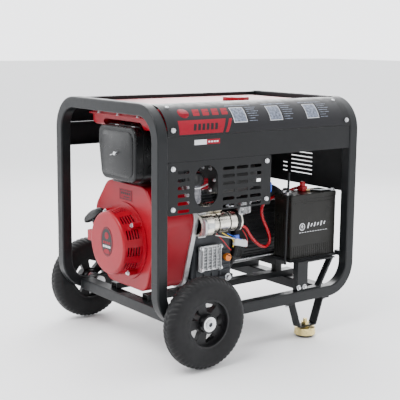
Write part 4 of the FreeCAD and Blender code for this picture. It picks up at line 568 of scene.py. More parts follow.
def harness():
    """Thin leads between the starter, the governor side and the sensor plug."""
    blue = look("blue_plastic", (0.02, 0.09, 0.55), 0.35, tint=0.08, grain=1200.0, bump=0.04, edge=0.4)
    yellow = look("yellow_lead", (0.72, 0.50, 0.05), 0.4, tint=0.08, grain=1200.0, bump=0.04, edge=0.4)
    pale = look("pale_lead", (0.62, 0.60, 0.55), 0.4, tint=0.08, grain=1200.0, bump=0.04, edge=0.4)
    leads = (
        ("lead_red", LOOKS["red_cable"], "red_cable",
         points_mm((-108, -186, 330), (-98, -193, 318), (-84, -196, 302), (-72, -194, 288), (-58, -190, 278))),
        ("lead_yellow", yellow, "orange_plastic",
         points_mm((-88, -187, 330), (-76, -195, 322), (-60, -199, 313), (-52, -197, 300), (-52, -192, 286))),
        ("lead_pale", pale, "zinc_steel",
         points_mm((-112, -187, 326), (-94, -196, 322), (-70, -201, 316), (-44, -200, 310), (-22, -195, 302))),
        ("lead_blue", blue, "black_plastic",
         points_mm((-70, -188, 326), (-56, -196, 318), (-42, -199, 312), (-28, -197, 306), (-14, -192, 300))),
        ("lead_dark", LOOKS["rubber"], "rubber",
         points_mm((-60, -176, 262), (-40, -180, 252), (-18, -178, 246), (-2, -170, 250), (6, -158, 262))),
        ("lead_pink", LOOKS["red_cable"], "red_cable",
         points_mm((-14, -186, 330), (-8, -192, 318), (-2, -194, 304), (2, -192, 290), (0, -186, 278))),
    )
    for name, material, slot, points in leads:
        wire(name, points, 1.5 * MM, material)
    plug = Piece("sensor_plug")
    face = at(Vector((-0.030, -0.197, 0.296)), (0.15, -1, 0.25), (0.25, 0.1, 1))
    plug.slab(rectangle(50 * MM, 17 * MM, 2 * MM), face, -5 * MM, 5 * MM)
    for k in range(4):
        plug.slab(rectangle(7 * MM, 3 * MM, 0.8 * MM, ((-18 + 12 * k) * MM, 10 * MM)), face, -3 * MM, 3 * MM)
    plug.done(PRINT_WHITE, "chassis", bevel=0.6 * MM)
    clip = Piece("lead_clip")
    clip.slab(rectangle(16 * MM, 10 * MM, 2 * MM), at((-0.046, -0.199, 0.316), (0.2, -1, 0.1)), -4 * MM, 4 * MM)
    clip.done(blue, "chassis", bevel=0.6 * MM)
    coupler = Piece("blue_coupler")
    where = at((0.070, -0.190, 0.446), (0.3, -1, 0), (0, 0, 1))
    coupler.slab(rectangle(26 * MM, 30 * MM, 7 * MM), where, -11 * MM, 11 * MM)
    coupler.turned(mm((7, 0), (8, 6), (6, 16)),
                   at((0.070, -0.190, 0.462), (0, 0, 1), (0, 1, 0)), 24)
    coupler.done(blue, "chassis", bevel=1.2 * MM)


# ---------------------------------------------------------------- engine

def recoil_details():
    """An oval label, lug screws and the shroud's plate."""
    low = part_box("recoil_housing")[0]
    axis_y, axis_z = 0.0, 0.300
    face = at((low.x, axis_y, axis_z), (-1, 0, 0))
    label = Piece("recoil_label")
    ring = [(x, y + 4 * MM) for x, y in oval(62 * MM, 84 * MM, 48)]
    label.slab(ring, face, 0.05 * MM, 0.5 * MM)
    label.done(PRINT_DARK, "chassis")
    rim = Piece("recoil_label_rim")
    outer = [(x, y + 4 * MM) for x, y in oval(58 * MM, 80 * MM, 48)]
    inner = [(x, y + 4 * MM) for x, y in oval(54 * MM, 76 * MM, 48)]
    rings = [rim.ring([face @ Vector((x, y, z)) for x, y in line])
             for line, z in ((outer, 0.45 * MM), (outer, 0.75 * MM), (inner, 0.75 * MM), (inner, 0.45 * MM))]
    for first, second in zip(rings, rings[1:]):
        rim.skin(first, second)
    rim.skin(rings[-1], rings[0])
    rim.slab([(x, y + 21 * MM) for x, y in oval(20 * MM, 20 * MM, 28)], face, 0.45 * MM, 0.75 * MM)
    for k in range(4):
        rim.slab(rectangle(7 * MM, 7 * MM, 1 * MM, ((-15 + 10 * k) * MM, 1 * MM)), face, 0.45 * MM, 0.75 * MM)
    rim.slab([(x, y - 24 * MM) for x, y in oval(30 * MM, 14 * MM, 24)], face, 0.45 * MM, 0.75 * MM)
    rim.done(PRINT_RED, "chassis")
    bar = Piece("recoil_label_bars")
    for k in range(5):
        bar.slab(rectangle(6 * MM, 6 * MM, 1 * MM, ((-16 + 8 * k) * MM, -10 * MM)), face, 0.45 * MM, 0.75 * MM)
    bar.done(PRINT_WHITE, "chassis")

    screws = Piece("recoil_screws")
    shroud_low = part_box("fan_shroud")[0]
    for k in range(4):
        turn = math.radians(37 + 90 * k)
        spot = (shroud_low.x - 30 * MM, -98 * MM * math.cos(turn), axis_z + 98 * MM * math.sin(turn))
        screws.bolt(at(spot, (-1, 0, 0)), 8 * MM)
    screws.done(LOOKS["zinc_steel"], "chassis")

    plate = Piece("shroud_plate")
    edge = Piece("shroud_plate_edge")
    where = at((shroud_low.x, -2 * MM, axis_z + 131 * MM), (-1, 0, 0))
    plate.slab(rectangle(66 * MM, 32 * MM, 2 * MM), where, 0.05 * MM, 0.5 * MM)
    frame_line = [(rectangle(60 * MM, 2 * MM, centre=(0, 12 * MM))), (rectangle(60 * MM, 2 * MM, centre=(0, -12 * MM))),
                  (rectangle(2 * MM, 24 * MM, centre=(-29 * MM, 0))), (rectangle(2 * MM, 24 * MM, centre=(29 * MM, 0)))]
    for line in frame_line:
        edge.slab(line, where, 0.4 * MM, 0.8 * MM)
    for k in range(5):
        edge.slab(rectangle(7 * MM, 7 * MM, 1 * MM, ((-20 + 10 * k) * MM, 4 * MM)), where, 0.4 * MM, 0.8 * MM)
    edge.slab(rectangle(30 * MM, 3 * MM, 1 * MM, (5 * MM, -6 * MM)), where, 0.4 * MM, 0.8 * MM)
    plate.done(PRINT_RED, "chassis", bevel=0.1 * MM)
    edge.done(PRINT_DARK, "chassis")


def pull_grip():
    """A fat moulded T grip: its lower side is flat and its back is a broad arch."""
    low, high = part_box("recoil_handle")
    tilt = math.radians(27)
    along = Vector((0, math.sin(tilt), math.cos(tilt)))
    across = Vector((0, math.cos(tilt), -math.sin(tilt)))
    middle_x = (low.x + high.x) / 2
    line = Vector((middle_x, 82 * MM * math.cos(tilt), 0.300 - 82 * MM * math.sin(tilt)))
    centre = line + along * 104 * MM
    grip = Piece("pull_grip")
    length, steps, sides = 110 * MM, 28, 28
    rings = []
    for i in range(steps + 1):
        u = -1 + 2 * i / steps
        swell = math.sqrt(max(0.0, 1 - abs(u) ** 3.2))
        rise = 17 * MM * swell * (1 - 0.25 * u * u)
        drop = 10 * MM * swell
        half_x = 14 * MM * swell
        ring = []
        for k in range(sides):
            t = 2 * math.pi * k / sides
            up = (rise if math.sin(t) > 0 else drop) * math.copysign(abs(math.sin(t)) ** 0.8, math.sin(t))
            wide = half_x * math.copysign(abs(math.cos(t)) ** 0.75, math.cos(t))
            dent = 1.2 * MM * swell * math.exp(-((abs(u) - 0.45) / 0.16) ** 2) if up > 0 else 0
            ring.append(centre + across * (u * length / 2) + along * (up - dent) + Vector((wide, 0, 0)))
        rings.append(grip.ring(ring))
    for first, second in zip(rings, rings[1:]):
        grip.skin(first, second)
    grip.mesh.faces.new(reversed(rings[0]))
    grip.mesh.faces.new(rings[-1])
    stem = at(line + along * 85.5 * MM, along, (1, 0, 0))
    grip.turned(mm((9, 0), (9.5, 3), (7.5, 7), (7, 16)), stem, 28)
    grip.done(LOOKS["black_plastic"], "recoil_grip", replaces=("recoil_handle",))
    rope = wire("pull_rope", [line + along * reach * MM for reach in (-24, 0, 20, 42, 64, 88)], 2 * MM,
                LOOKS["rubber"], "recoil_grip")
    return rope


def air_cleaner_details():
    """A raised step on the cover, clips on the box, a foot under the box, and a wing nut."""
    low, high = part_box("air_cleaner_cover")
    face = at((low.x, (low.y + high.y) / 2 - 4 * MM, (low.z + high.z) / 2), (-1, 0, 0))
    width, height = high.y - low.y, high.z - low.z
    step = Piece("air_cleaner_step")
    outer = rectangle(width - 34 * MM, height - 30 * MM, 24 * MM, steps=8)
    inner = rectangle(width - 40 * MM, height - 36 * MM, 21 * MM, steps=8)
    levels = ((outer, 0.0), (outer, 1.2 * MM), (inner, 2.6 * MM))
    rings = [step.ring([face @ Vector((x, y, z)) for x, y in line]) for line, z in levels]
    for first, second in zip(rings, rings[1:]):
        step.skin(first, second)
    step.mesh.faces.new(reversed(rings[0]))
    step.mesh.faces.new(rings[-1])
    step.done(LOOKS["black_plastic"], "air_cleaner_cover", bevel=0.8 * MM)

    knob_low, knob_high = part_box("air_cleaner_knob")
    centre = (knob_low + knob_high) / 2
    nut = Piece("wing_nut")
    seat = at((knob_high.x, centre.y, centre.z), (-1, 0, 0), (0, 0.35, 1))
    nut.turned(mm((9, 0), (9, 1.2), (6, 1.4), (5.4, 7), (4.6, 8)),
               seat, 28)
    for side in (-1, 1):
        wing = [(0, -2), (6, -2.6), (13, 0), (16.5, 5), (15, 9.5), (10, 8), (5, 4), (0, 3.5)]
        turned_seat = seat @ Matrix.Rotation(math.pi / 2, 4, "X")
        nut.slab([(side * x * MM, (y + 1.8) * MM) for x, y in wing][::side], turned_seat, -1.1 * MM, 1.1 * MM)
    nut.done(LOOKS["zinc_steel"], "air_cleaner_knob", replaces=("air_cleaner_knob",), bevel=0.5 * MM)

    box_low, box_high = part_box("air_cleaner_box")
    clips = Piece("air_cleaner_clips")
    for y in (box_low.y + 50 * MM, box_high.y - 60 * MM):
        for z, way in ((box_low.z, -1), (box_high.z - 2 * MM, 1)):
            clips.slab(rectangle(18 * MM, 2 * MM, 0.8 * MM), at((box_low.x + 9 * MM, y, z + way * 0.4 * MM), (1, 0, 0)),
                       -14 * MM, 6 * MM)
    clips.done(LOOKS["zinc_steel"], "chassis", bevel=0.3 * MM)
    foot = Piece("air_cleaner_foot")
    foot.slab(rectangle(120 * MM, 60 * MM, 10 * MM, ((box_low.x + box_high.x) / 2, 10 * MM)),
              at((0, 0, box_low.z + 2 * MM), (0, 0, 1), (0, 1, 0)), -9 * MM, 0)
    foot.done(LOOKS["black_plastic"], "chassis", bevel=1.5 * MM)


def starter_details():
    """The cast nose, bands, bolts and terminals of the starter and its solenoid."""
    low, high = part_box("starter_motor")
    axis_z = 353 * MM
    centre_y = -155 * MM
    start = low.x
    along = at((start, centre_y, axis_z), (1, 0, 0), (0, 0, 1))
    nose = Piece("starter_nose")
    nose.turned(mm((27, 0), (31.5, 3), (33, 12), (31.2, 26), (30.8, 44),
                 (30.6, 46), (20, 46)), along, 48)
    for k in range(5):
        turn = along @ Matrix.Rotation(math.radians(-100 + 50 * k), 4, "Z")
        nose.slab(mm((29, -2.5), (36, -1.5), (36, 1.5), (29, 2.5)), turn,
                  4 * MM, 30 * MM)
    nose.slab(rectangle(92 * MM, 46 * MM, 12 * MM), along, 0.2 * MM, 8 * MM)
    nose.done(LOOKS["cast_aluminium"], "chassis", bevel=1.0 * MM)

    bands = Piece("starter_bands")
    for z in (62, 102):
        bands.turned([(30.2 * MM, z * MM), (30.7 * MM, (z + 0.4) * MM), (30.7 * MM, (z + 2.2) * MM),
                      (30.2 * MM, (z + 2.6) * MM)], along, 48)
    for k in (0, 1):
        turn = along @ Matrix.Rotation(math.radians(35 + 180 * k), 4, "Z")
        bands.tube([turn @ Vector((31.5 * MM, 0, z * MM)) for z in (40, 90, 138)], 1.6 * MM)
    bands.done(LOOKS["rubber"], "chassis")

    cap = Piece("starter_end_cap")
    cap.turned(mm((30.6, 128), (31.2, 129), (31.2, 140), (29, 146),
                (12, 147.4)), along, 48)
    cap.done(LOOKS["black_plastic"], "chassis", bevel=0.4 * MM)

    studs = Piece("starter_bolts")
    for k in range(2):
        spot = along @ Matrix.Rotation(math.radians(35 + 180 * k), 4, "Z")
        studs.bolt(spot @ Matrix.Translation((22 * MM, 0, 146.4 * MM)), 7 * MM)
    studs.bolt(along @ Matrix.Translation((-38 * MM, 0, 8 * MM)), 11 * MM)
    studs.bolt(along @ Matrix.Translation((38 * MM, 0, 8 * MM)), 11 * MM)
    top = at((start + 108 * MM, centre_y - 4 * MM, high.z - 17 * MM), (1, 0, 0), (0, 0, 1))
    for x in (-8, 8):
        studs.bolt(top @ Matrix.Translation((x * MM, 0, 4 * MM)), 8 * MM)
        studs.turned(mm((2.6, 0), (2.6, 16), (1.8, 17)),
                     top @ Matrix.Translation((x * MM, 0, 0)), 16)
    studs.done(LOOKS["zinc_steel"], "chassis")


def end_bracket():
    """The bright cast bracket at the starter's right end, with its ring, arms and bolts."""
    bracket = Piece("end_bracket")
    where = at((4 * MM, -152 * MM, 366 * MM), (0.72, -0.69, 0.05), (0, 0, 1))
    bracket.turned(mm((34, -3), (36, 0), (35, 5), (30, 6), (29, 1),
                    (12, 0), (11, 8), (6, 9)), where, 44)
    for k in range(6):
        turn = where @ Matrix.Rotation(math.pi / 3 * k + 0.2, 4, "Z")
        bracket.slab(mm((9, -2), (32, -3), (32, 3), (9, 2)), turn,
                     -2 * MM, 4.5 * MM)
    side = at((30 * MM, -138 * MM, 384 * MM), (0.3, -1, 0.1), (0, 0, 1))
    bracket.slab(rectangle(62 * MM, 40 * MM, 9 * MM), side, -4 * MM, 5 * MM)
    for x in (-20, 0, 20):
        bracket.slab(rectangle(4 * MM, 34 * MM, 1.5 * MM, (x * MM, 0)), side, 5 * MM, 9 * MM)
    bracket.done(LOOKS["cast_aluminium"], "chassis", bevel=0.9 * MM)
    bolts = Piece("end_bracket_bolts")
    for k in range(3):
        turn = where @ Matrix.Rotation(2 * math.pi / 3 * k + 0.7, 4, "Z")
        bolts.bolt(turn @ Matrix.Translation((23 * MM, 0, 4.5 * MM)), 8 * MM)
    for x in (-26, 26):
        bolts.bolt(side @ Matrix.Translation((x * MM, 13 * MM, 5 * MM)), 8 * MM)
    bolts.done(LOOKS["zinc_steel"], "chassis")


def crankcase_details():
    """A ribbed bright side cover, its bolts and the sump's drain plugs."""
    low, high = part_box("crankcase")
    front = low.y
    cover = Piece("crankcase_side_cover")
    face = at((-98 * MM, front, 252 * MM), (0, -1, 0))
    width, height = 78 * MM, 72 * MM
    cover.slab(rectangle(width, height, 10 * MM, steps=6), face, -2 * MM, 5 * MM)
    columns, rows = 5, 7
    for k in range(columns):
        cover.slab(rectangle(2.6 * MM, height - 8 * MM, 0.8 * MM, ((-32 + 16 * k) * MM, 0)), face, 5 * MM, 14 * MM)
    for k in range(rows):
        cover.slab(rectangle(width - 10 * MM, 2.4 * MM, 0.8 * MM, (0, (-27 + 9 * k) * MM)), face, 5 * MM, 11 * MM)
    for x in (-34, 34):
        for y in (-31, 31):
            boss = face @ Matrix.Translation((x * MM, y * MM, 0))
            cover.turned(mm((7, 0), (7, 9), (6, 10)), boss, 24)
    cover.done(LOOKS["cast_aluminium"], "chassis", bevel=0.5 * MM)
    bolts = Piece("crankcase_bolts")
    for x in (-34, 34):
        for y in (-31, 31):
            bolts.bolt(face @ Matrix.Translation((x * MM, y * MM, 10 * MM)), 8 * MM, washer=False)
    for x in (-130, -30):
        bolts.bolt(at((x * MM, low.y, low.z + 7 * MM), (0, -1, 0)), 13 * MM)
        bolts.bolt(at((x * MM, high.y, low.z + 7 * MM), (0, 1, 0)), 13 * MM)
    for x in (-120, -80, -40):
        bolts.bolt(at((x * MM, high.y - 12 * MM, 300 * MM), (0, 1, 0)), 8 * MM)
    bolts.done(LOOKS["zinc_steel"], "chassis")


def window_parts():
    """What shows through the guard's window: a filter head, its bowl, a red cap and a pipe."""
    centre_x, mid_z = -201 * MM, 470 * MM
    head = Piece("fuel_filter_head")
    where = at((centre_x - 6 * MM, -212 * MM, mid_z + 10 * MM), (0, 0, 1), (0, 1, 0))
    head.turned(mm((24, 0), (27, 3), (27, 20), (22, 32), (9, 37)), where, 40)
    head.done(LOOKS["black_plastic"], "chassis", bevel=0.6 * MM)
    bowl = Piece("fuel_filter_bowl")
    bowl.turned(mm((8, -52), (17, -50), (20, -42), (20, -3), (22, 0)),
                where, 40)
    for z in (-40, -28, -16):
        bowl.turned([(20.4 * MM, z * MM), (21.2 * MM, (z + 1) * MM), (20.4 * MM, (z + 2) * MM)], where, 40)
    glass = look("grey_bowl", (0.17, 0.17, 0.19), 0.18, tint=0.2, grain=600.0, bump=0.03, edge=0.4, coat=0.5)
    bowl.done(glass, "chassis", bevel=0.3 * MM)
    cap = Piece("speed_lever_cap")
    side = at((centre_x + 34 * MM, -190 * MM, mid_z + 6 * MM), (0, -1, 0))
    cap.slab(rectangle(40 * MM, 30 * MM, 4 * MM), side, -6 * MM, 8 * MM)
    cap.turned(mm((9, 8), (9, 15), (7, 17)), side, 24)
    cap.done(LOOKS["red_paint"], "chassis", bevel=1.0 * MM)
    spring = Piece("speed_lever")
    spring.tube([(centre_x - 30 * MM, -228 * MM, mid_z + 2 * MM), (centre_x - 4 * MM, -236 * MM, mid_z + 4 * MM),
                 (centre_x + 30 * MM, -226 * MM, mid_z + 10 * MM)], 2.2 * MM)
    spring.bolt(at((centre_x - 30 * MM, -230 * MM, mid_z + 2 * MM), (0, -1, 0)), 8 * MM)
    spring.done(LOOKS["zinc_steel"], "chassis")


def top_end_details():
    """Bolts and an injector pipe on the cylinder head, and the muffler's guard and flange bolts."""
    low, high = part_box("rocker_cover")
    bolts = Piece("head_bolts")
    for x in (low.x + 12 * MM, high.x - 12 * MM):
        for y in (low.y + 14 * MM, high.y - 14 * MM):
            bolts.bolt(at((x, y, high.z), (0, 0, 1), (0, 1, 0)), 8 * MM)
    muffler_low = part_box("muffler")[0]
    for k in range(6):
        turn = 2 * math.pi * k / 6
        spot = (muffler_low.x, -179 * MM + 34 * MM * math.cos(turn), 487 * MM + 34 * MM * math.sin(turn))
        bolts.bolt(at(spot, (-1, 0, 0)), 7 * MM)
    bolts.done(LOOKS["zinc_steel"], "chassis")
    pipe = Piece("injector_pipe")
    start = Vector((-150 * MM, 60 * MM, 330 * MM))
    pipe.tube([start, start + Vector((0, 14, 20)) * MM, start + Vector((0, 22, 60)) * MM,
               start + Vector((2, 24, 120)) * MM, start + Vector((8, 20, 175)) * MM,
               start + Vector((20, 8, 200)) * MM, start + Vector((34, -6, 204)) * MM], 3 * MM)
    for spot, normal in ((start, (0, 0.6, 0.8)), (start + Vector((34, -6, 204)) * MM, (-0.7, 0.5, 0.2))):
        pipe.bolt(at(spot, normal, (1, 0, 0)), 14 * MM, washer=False)
    pipe.done(LOOKS["zinc_steel"], "chassis", bevel=0.4 * MM)
    guard = Piece("muffler_guard")
    steps = 20
    rings = []
    for reach in (46.5 * MM, 47.7 * MM):
        for x in (muffler_low.x + 16 * MM, muffler_low.x + 128 * MM):
            rings.append([guard.mesh.verts.new((x, -179 * MM - reach * math.cos(t), 487 * MM + reach * math.sin(t)))
                          for t in [math.radians(-60 + 150 * i / steps) for i in range(steps + 1)]])
    inner_left, inner_right, outer_left, outer_right = rings
    for i in range(steps):
        guard.mesh.faces.new((inner_left[i], inner_right[i], inner_right[i + 1], inner_left[i + 1]))
        guard.mesh.faces.new((outer_left[i], outer_left[i + 1], outer_right[i + 1], outer_right[i]))
        guard.mesh.faces.new((inner_left[i], inner_left[i + 1], outer_left[i + 1], outer_left[i]))
        guard.mesh.faces.new((inner_right[i], outer_right[i], outer_right[i + 1], inner_right[i + 1]))
    for i in (0, steps):
        guard.mesh.faces.new((inner_left[i], outer_left[i], outer_right[i], inner_right[i]))
    guard.done(LOOKS["muffler_black"], "chassis")


def alternator_details():
    """Long bolts, end bell bolts, cooling fins and the terminal cover of the alternator."""
    low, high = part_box("alternator_housing")
    fins = Piece("alternator_fins")
    reach = 115.5 * MM
    count = 56
    for k in range(count):
        turn = 2 * math.pi * k / count
        y, z = reach * math.cos(turn), reach * math.sin(turn)
        if z < -96 * MM:
            continue
        fins.slab(rectangle(3.4 * MM, 3 * MM, centre=(0, 1 * MM)),
                  at((low.x + 34 * MM, y, 300 * MM + z), (1, 0, 0), (0, math.cos(turn), math.sin(turn))),
                  0, 122 * MM)
    fins.done(LOOKS["alternator_black"], "chassis", bevel=0.4 * MM)
    bolts = Piece("alternator_bolts")
    for k in range(4):
        turn = math.radians(45 + 90 * k)
        bolts.tube([(low.x + 6 * MM, 121 * MM * math.cos(turn), 300 * MM + 121 * MM * math.sin(turn)),
                    (low.x + 100 * MM, 121 * MM * math.cos(turn), 300 * MM + 121 * MM * math.sin(turn)),
                    (low.x + 190 * MM, 121 * MM * math.cos(turn), 300 * MM + 121 * MM * math.sin(turn))], 3 * MM)
        bolts.bolt(at((low.x + 190 * MM, 121 * MM * math.cos(turn), 300 * MM + 121 * MM * math.sin(turn)),
                      (1, 0, 0)), 10 * MM)
    for k in range(6):
        turn = math.radians(30 + 60 * k)
        bolts.bolt(at((high.x, 100 * MM * math.cos(turn), 300 * MM + 100 * MM * math.sin(turn)), (1, 0, 0)), 9 * MM)
    bolts.done(LOOKS["zinc_steel"], "chassis")
    cover = Piece("terminal_cover")
    cover.slab(rectangle(96 * MM, 84 * MM, 10 * MM), at((150 * MM, 0, 300 * MM + 112 * MM), (0, 0, 1), (0, 1, 0)),
               -2 * MM, 16 * MM)
    cover.done(LOOKS["black_plastic"], "chassis", bevel=2.0 * MM)
    rail = Piece("engine_bed_bolts")
    mounts_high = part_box("engine_mounts")[1]
    for x in (-132, -22, 213):
        for y in (-82, 82):
            rail.turned(mm((13, 0), (13, 2), (12, 2.4)),
                        at((x * MM, y * MM, mounts_high.z - 2.2 * MM), (0, 0, 1), (0, 1, 0)), 28)
    rail.done(LOOKS["zinc_steel"], "chassis")


# ---------------------------------------------------------------- battery

def battery_details():
    """Ribs and a lid lip, a plain emblem with lines, posts, clamps, a red boot and a hold-down."""
    low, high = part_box("battery")
    front = low.y + 1 * MM
    left, right = low.x + 1 * MM, high.x - 1 * MM
    lid_z = high.z - 29 * MM
    ribs = Piece("battery_ribs")
    face = at(((left + right) / 2, front, low.z), (0, -1, 0))
    width = right - left
    count = 22
    for k in range(count):
        x = -width / 2 + width * (k + 0.5) / count
        ribs.slab(rectangle(2.2 * MM, 40 * MM, 0.8 * MM, (x, 21 * MM)), face, -0.4 * MM, 0.8 * MM)
    ribs.slab(rectangle(width - 12 * MM, 2 * MM, 0.8 * MM, (0, lid_z - low.z - 10 * MM)), face, -0.4 * MM, 0.8 * MM)
    side = at((left, (low.y + high.y) / 2, low.z), (-1, 0, 0))
    for k in range(9):
        ribs.slab(rectangle(2.2 * MM, 130 * MM, 0.8 * MM, ((-32 + 8 * k) * MM, 72 * MM)), side, -0.4 * MM, 0.7 * MM)
    ribs.done(LOOKS["battery_plastic"], "chassis", bevel=0.4 * MM)

    emblem = Piece("battery_emblem")
    mark = face @ Matrix.Translation((-46 * MM, 97 * MM, 0))
    rings = [emblem.ring([mark @ Vector((r * math.cos(2 * math.pi * i / 32), r * math.sin(2 * math.pi * i / 32), z))
                          for i in range(32)])
             for r, z in ((11 * MM, 0.05 * MM), (11 * MM, 0.4 * MM), (8.6 * MM, 0.4 * MM), (8.6 * MM, 0.05 * MM))]
    for first, second in zip(rings, rings[1:]):
        emblem.skin(first, second)
    emblem.skin(rings[-1], rings[0])
    emblem.slab(mm((-1, 6), (-5, -1), (-1, -1), (-2, -7), (5, 1),
                 (1, 1), (3, 6)), mark, 0.05 * MM, 0.4 * MM)
    for k in range(6):
        bar = mark @ Matrix.Translation(((24 + 13 * k) * MM, (2 + k * 0.4) * MM, 0))
        tall = (16, 9, 12, 9, 14, 9)[k]
        emblem.slab([(-4 * MM, -tall / 2 * MM), (1 * MM, -tall / 2 * MM), (5 * MM, tall / 2 * MM), (0, tall / 2 * MM)],
                    bar, 0.05 * MM, 0.4 * MM)
    for k in range(11):
        emblem.slab(rectangle(7 * MM, 1.6 * MM, centre=((-8 + 10.5 * k) * MM, -17 * MM)), mark, 0.05 * MM, 0.3 * MM)
    emblem.done(PRINT_WHITE, "chassis")

    clamps = Piece("battery_clamps")
    posts = (left + 0.12 * width, left + 0.52 * width)
    post_y = low.y + 1 * MM + 0.7 * (high.y - low.y - 2 * MM)
    top = high.z - 14 * MM
    clamp = at((posts[0], post_y, top), (0, 0, 1), (0, 1, 0))
    clamps.turned(mm((11, 1), (11.5, 2), (11, 9), (7.4, 9), (7.4, 1)), clamp, 32)
    clamps.slab(rectangle(16 * MM, 9 * MM, 1 * MM, (0, -14 * MM)), clamp, 1 * MM, 8 * MM)
    clamps.tube([(x, y, top + 5 * MM) for x, y in ((left + 0.55 * width, post_y - 6 * MM),
                (left + 0.70 * width, low.y + 14 * MM), (right - 8 * MM, low.y + 10 * MM))], 2.2 * MM)
    clamps.bolt(at((right - 8 * MM, low.y + 10 * MM, top + 1 * MM), (0, 0, 1), (0, 1, 0)), 10 * MM)
    clamps.done(LOOKS["zinc_steel"], "chassis", bevel=0.5 * MM)
    lug = Piece("battery_lug")
    lug.slab(rectangle(34 * MM, 12 * MM, 3 * MM), at((left + 0.60 * width, post_y - 12 * MM, top + 2 * MM),
                                                    (0, 0.1, 1), (0, 1, 0)), 0, 5 * MM)
    lug.done(LOOKS["brass"], "chassis", bevel=0.8 * MM)
    boot = Piece("battery_boot")
    where = at((posts[1] - 4 * MM, post_y - 1 * MM, top - 0.5 * MM), (0, 0, 1), (0, 1, 0))
    boot.slab(rectangle(22 * MM, 26 * MM, 5 * MM), where, 0, 16 * MM)
    boot.turned(mm((8.5, 14), (8.5, 26), (7, 29)), where, 28)
    boot.done(LOOKS["red_cable"], "chassis", bevel=2.0 * MM)

    holder = Piece("battery_hold_down")
    rod_x, rod_y = left - 12 * MM, low.y + 10 * MM
    holder.tube([(rod_x, rod_y, low.z - 10 * MM), (rod_x, rod_y, low.z + 90 * MM), (rod_x + 4 * MM, rod_y, high.z - 8 * MM),
                 (rod_x + 14 * MM, rod_y + 8 * MM, high.z + 52 * MM)], 3.5 * MM)
    holder.slab(rectangle(30 * MM, 12 * MM, 2 * MM), at((rod_x + 6 * MM, rod_y, high.z - 13.6 * MM), (0, 0, 1), (0, 1, 0)),
                0, 3 * MM)
    holder.done(LOOKS["frame_paint"], "chassis", bevel=0.4 * MM)
    nut = Piece("battery_hold_nut")
    nut.bolt(at((rod_x + 1 * MM, rod_y, high.z - 10.5 * MM), (0, 0, 1), (0, 1, 0)), 9 * MM)
    nut.done(LOOKS["zinc_steel"], "chassis")


# ---------------------------------------------------------------- frame and tank

def frame_details():
    """Weld beads at the tube joints, louvre lips, foot bolts and tank screws."""
    beads = Piece("weld_beads")
    cross_low, cross_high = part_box("cross_tubes")
    for side in (-1, 1):
        for x in (cross_low.x, cross_low.x + 40 * MM, cross_high.x - 40 * MM, cross_high.x):
            path = [(x, side * 233 * MM, cross_low.z + 2 * MM + 28 * MM * i / 9 + 0.5 * MM * math.sin(i * 2.1))
                    for i in range(10)]
            beads.tube(path, 2.1 * MM, 8)
    beads.done(LOOKS["frame_paint"], "chassis")

    lips = Piece("louvre_lips")
    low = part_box("end_panel")[0]
    first_top = 667 * MM - 0.5 * MM - 152 * MM
    for row in range(6):
        z = first_top - row * 13 * MM
        lips.tube([(low.x - 0.8 * MM, y, z + 3.6 * MM) for y in (-94 * MM, -47 * MM, 0.5 * MM)], 0.9 * MM, 8)
    for row in range(3, 6):
        z = first_top - row * 13 * MM
        lips.tube([(low.x - 0.8 * MM, y, z + 3.6 * MM) for y in (18.5 * MM, 28 * MM, 38.5 * MM)], 0.9 * MM, 8)
    lips.done(LOOKS["zinc_steel"], "chassis")

    bolts = Piece("tank_bolts")
    tank_low, tank_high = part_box("fuel_tank")
    seam_z = 655 * MM
    for side in (-1, 1):
        for x in (-270, -135, 0, 135, 270):
            bolts.bolt(at((x * MM, side * (tank_high.y - 5.5 * MM), seam_z), (0, 0, 1), (0, 1, 0)), 7 * MM)
    for x in (tank_low.x + 5.5 * MM, tank_high.x - 5.5 * MM):
        for y in (-100, 0, 100):
            bolts.bolt(at((x, y * MM, seam_z), (0, 0, 1), (0, 1, 0)), 7 * MM)
    bolts.done(LOOKS["zinc_steel"], "chassis")

    ribs = Piece("fuel_cap_ribs")
    cap_low, cap_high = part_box("fuel_cap")
    centre = (cap_low + cap_high) / 2
    radius = (cap_high.x - cap_low.x) / 2
    for k in range(36):
        turn = 2 * math.pi * k / 36
        ribs.slab(rectangle(2.2 * MM, 1.6 * MM), at((centre.x + (radius - 0.3 * MM) * math.cos(turn),
                                                     centre.y + (radius - 0.3 * MM) * math.sin(turn), cap_low.z + 4.2 * MM),
                                                    (0, 0, 1), (math.cos(turn), math.sin(turn), 0)), 0, 7 * MM)
    ribs.slab(rectangle(44 * MM, 9 * MM, 4 * MM), at((centre.x, centre.y, cap_high.z), (0, 0, 1), (0, 1, 0)),
              -1 * MM, 1.1 * MM)
    ribs.done(LOOKS["red_paint"], "fuel_cap", bevel=0.4 * MM)

    rivets = Piece("cover_screws")
    for x in (-300, 300):
        for angle in (66,):
            spot = on_cover(x * MM, math.radians(angle), 0)
            out = spot - Vector((spot.x, -186 * MM, 620 * MM))
            rivets.screw(at(spot, out, (1, 0, 0)), 5 * MM)
    rivets.done(LOOKS["zinc_steel"], "chassis")

    foot = Piece("foot_screws")
    bracket_low, bracket_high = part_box("foot_brackets")
    for side in (-1, 1):
        for x in (bracket_low.x + 9 * MM, bracket_high.x - 9 * MM):
            foot.bolt(at((x, side * 249 * MM, bracket_high.z - 4 * MM), (0, 0, -1), (0, 1, 0)), 10 * MM)
    for x in (142, 165):
        foot.bolt(at((x * MM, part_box("battery_tray")[0].y, 152 * MM), (0, -1, 0)), 9 * MM)
    foot.done(LOOKS["zinc_steel"], "chassis")


# ---------------------------------------------------------------- control panel

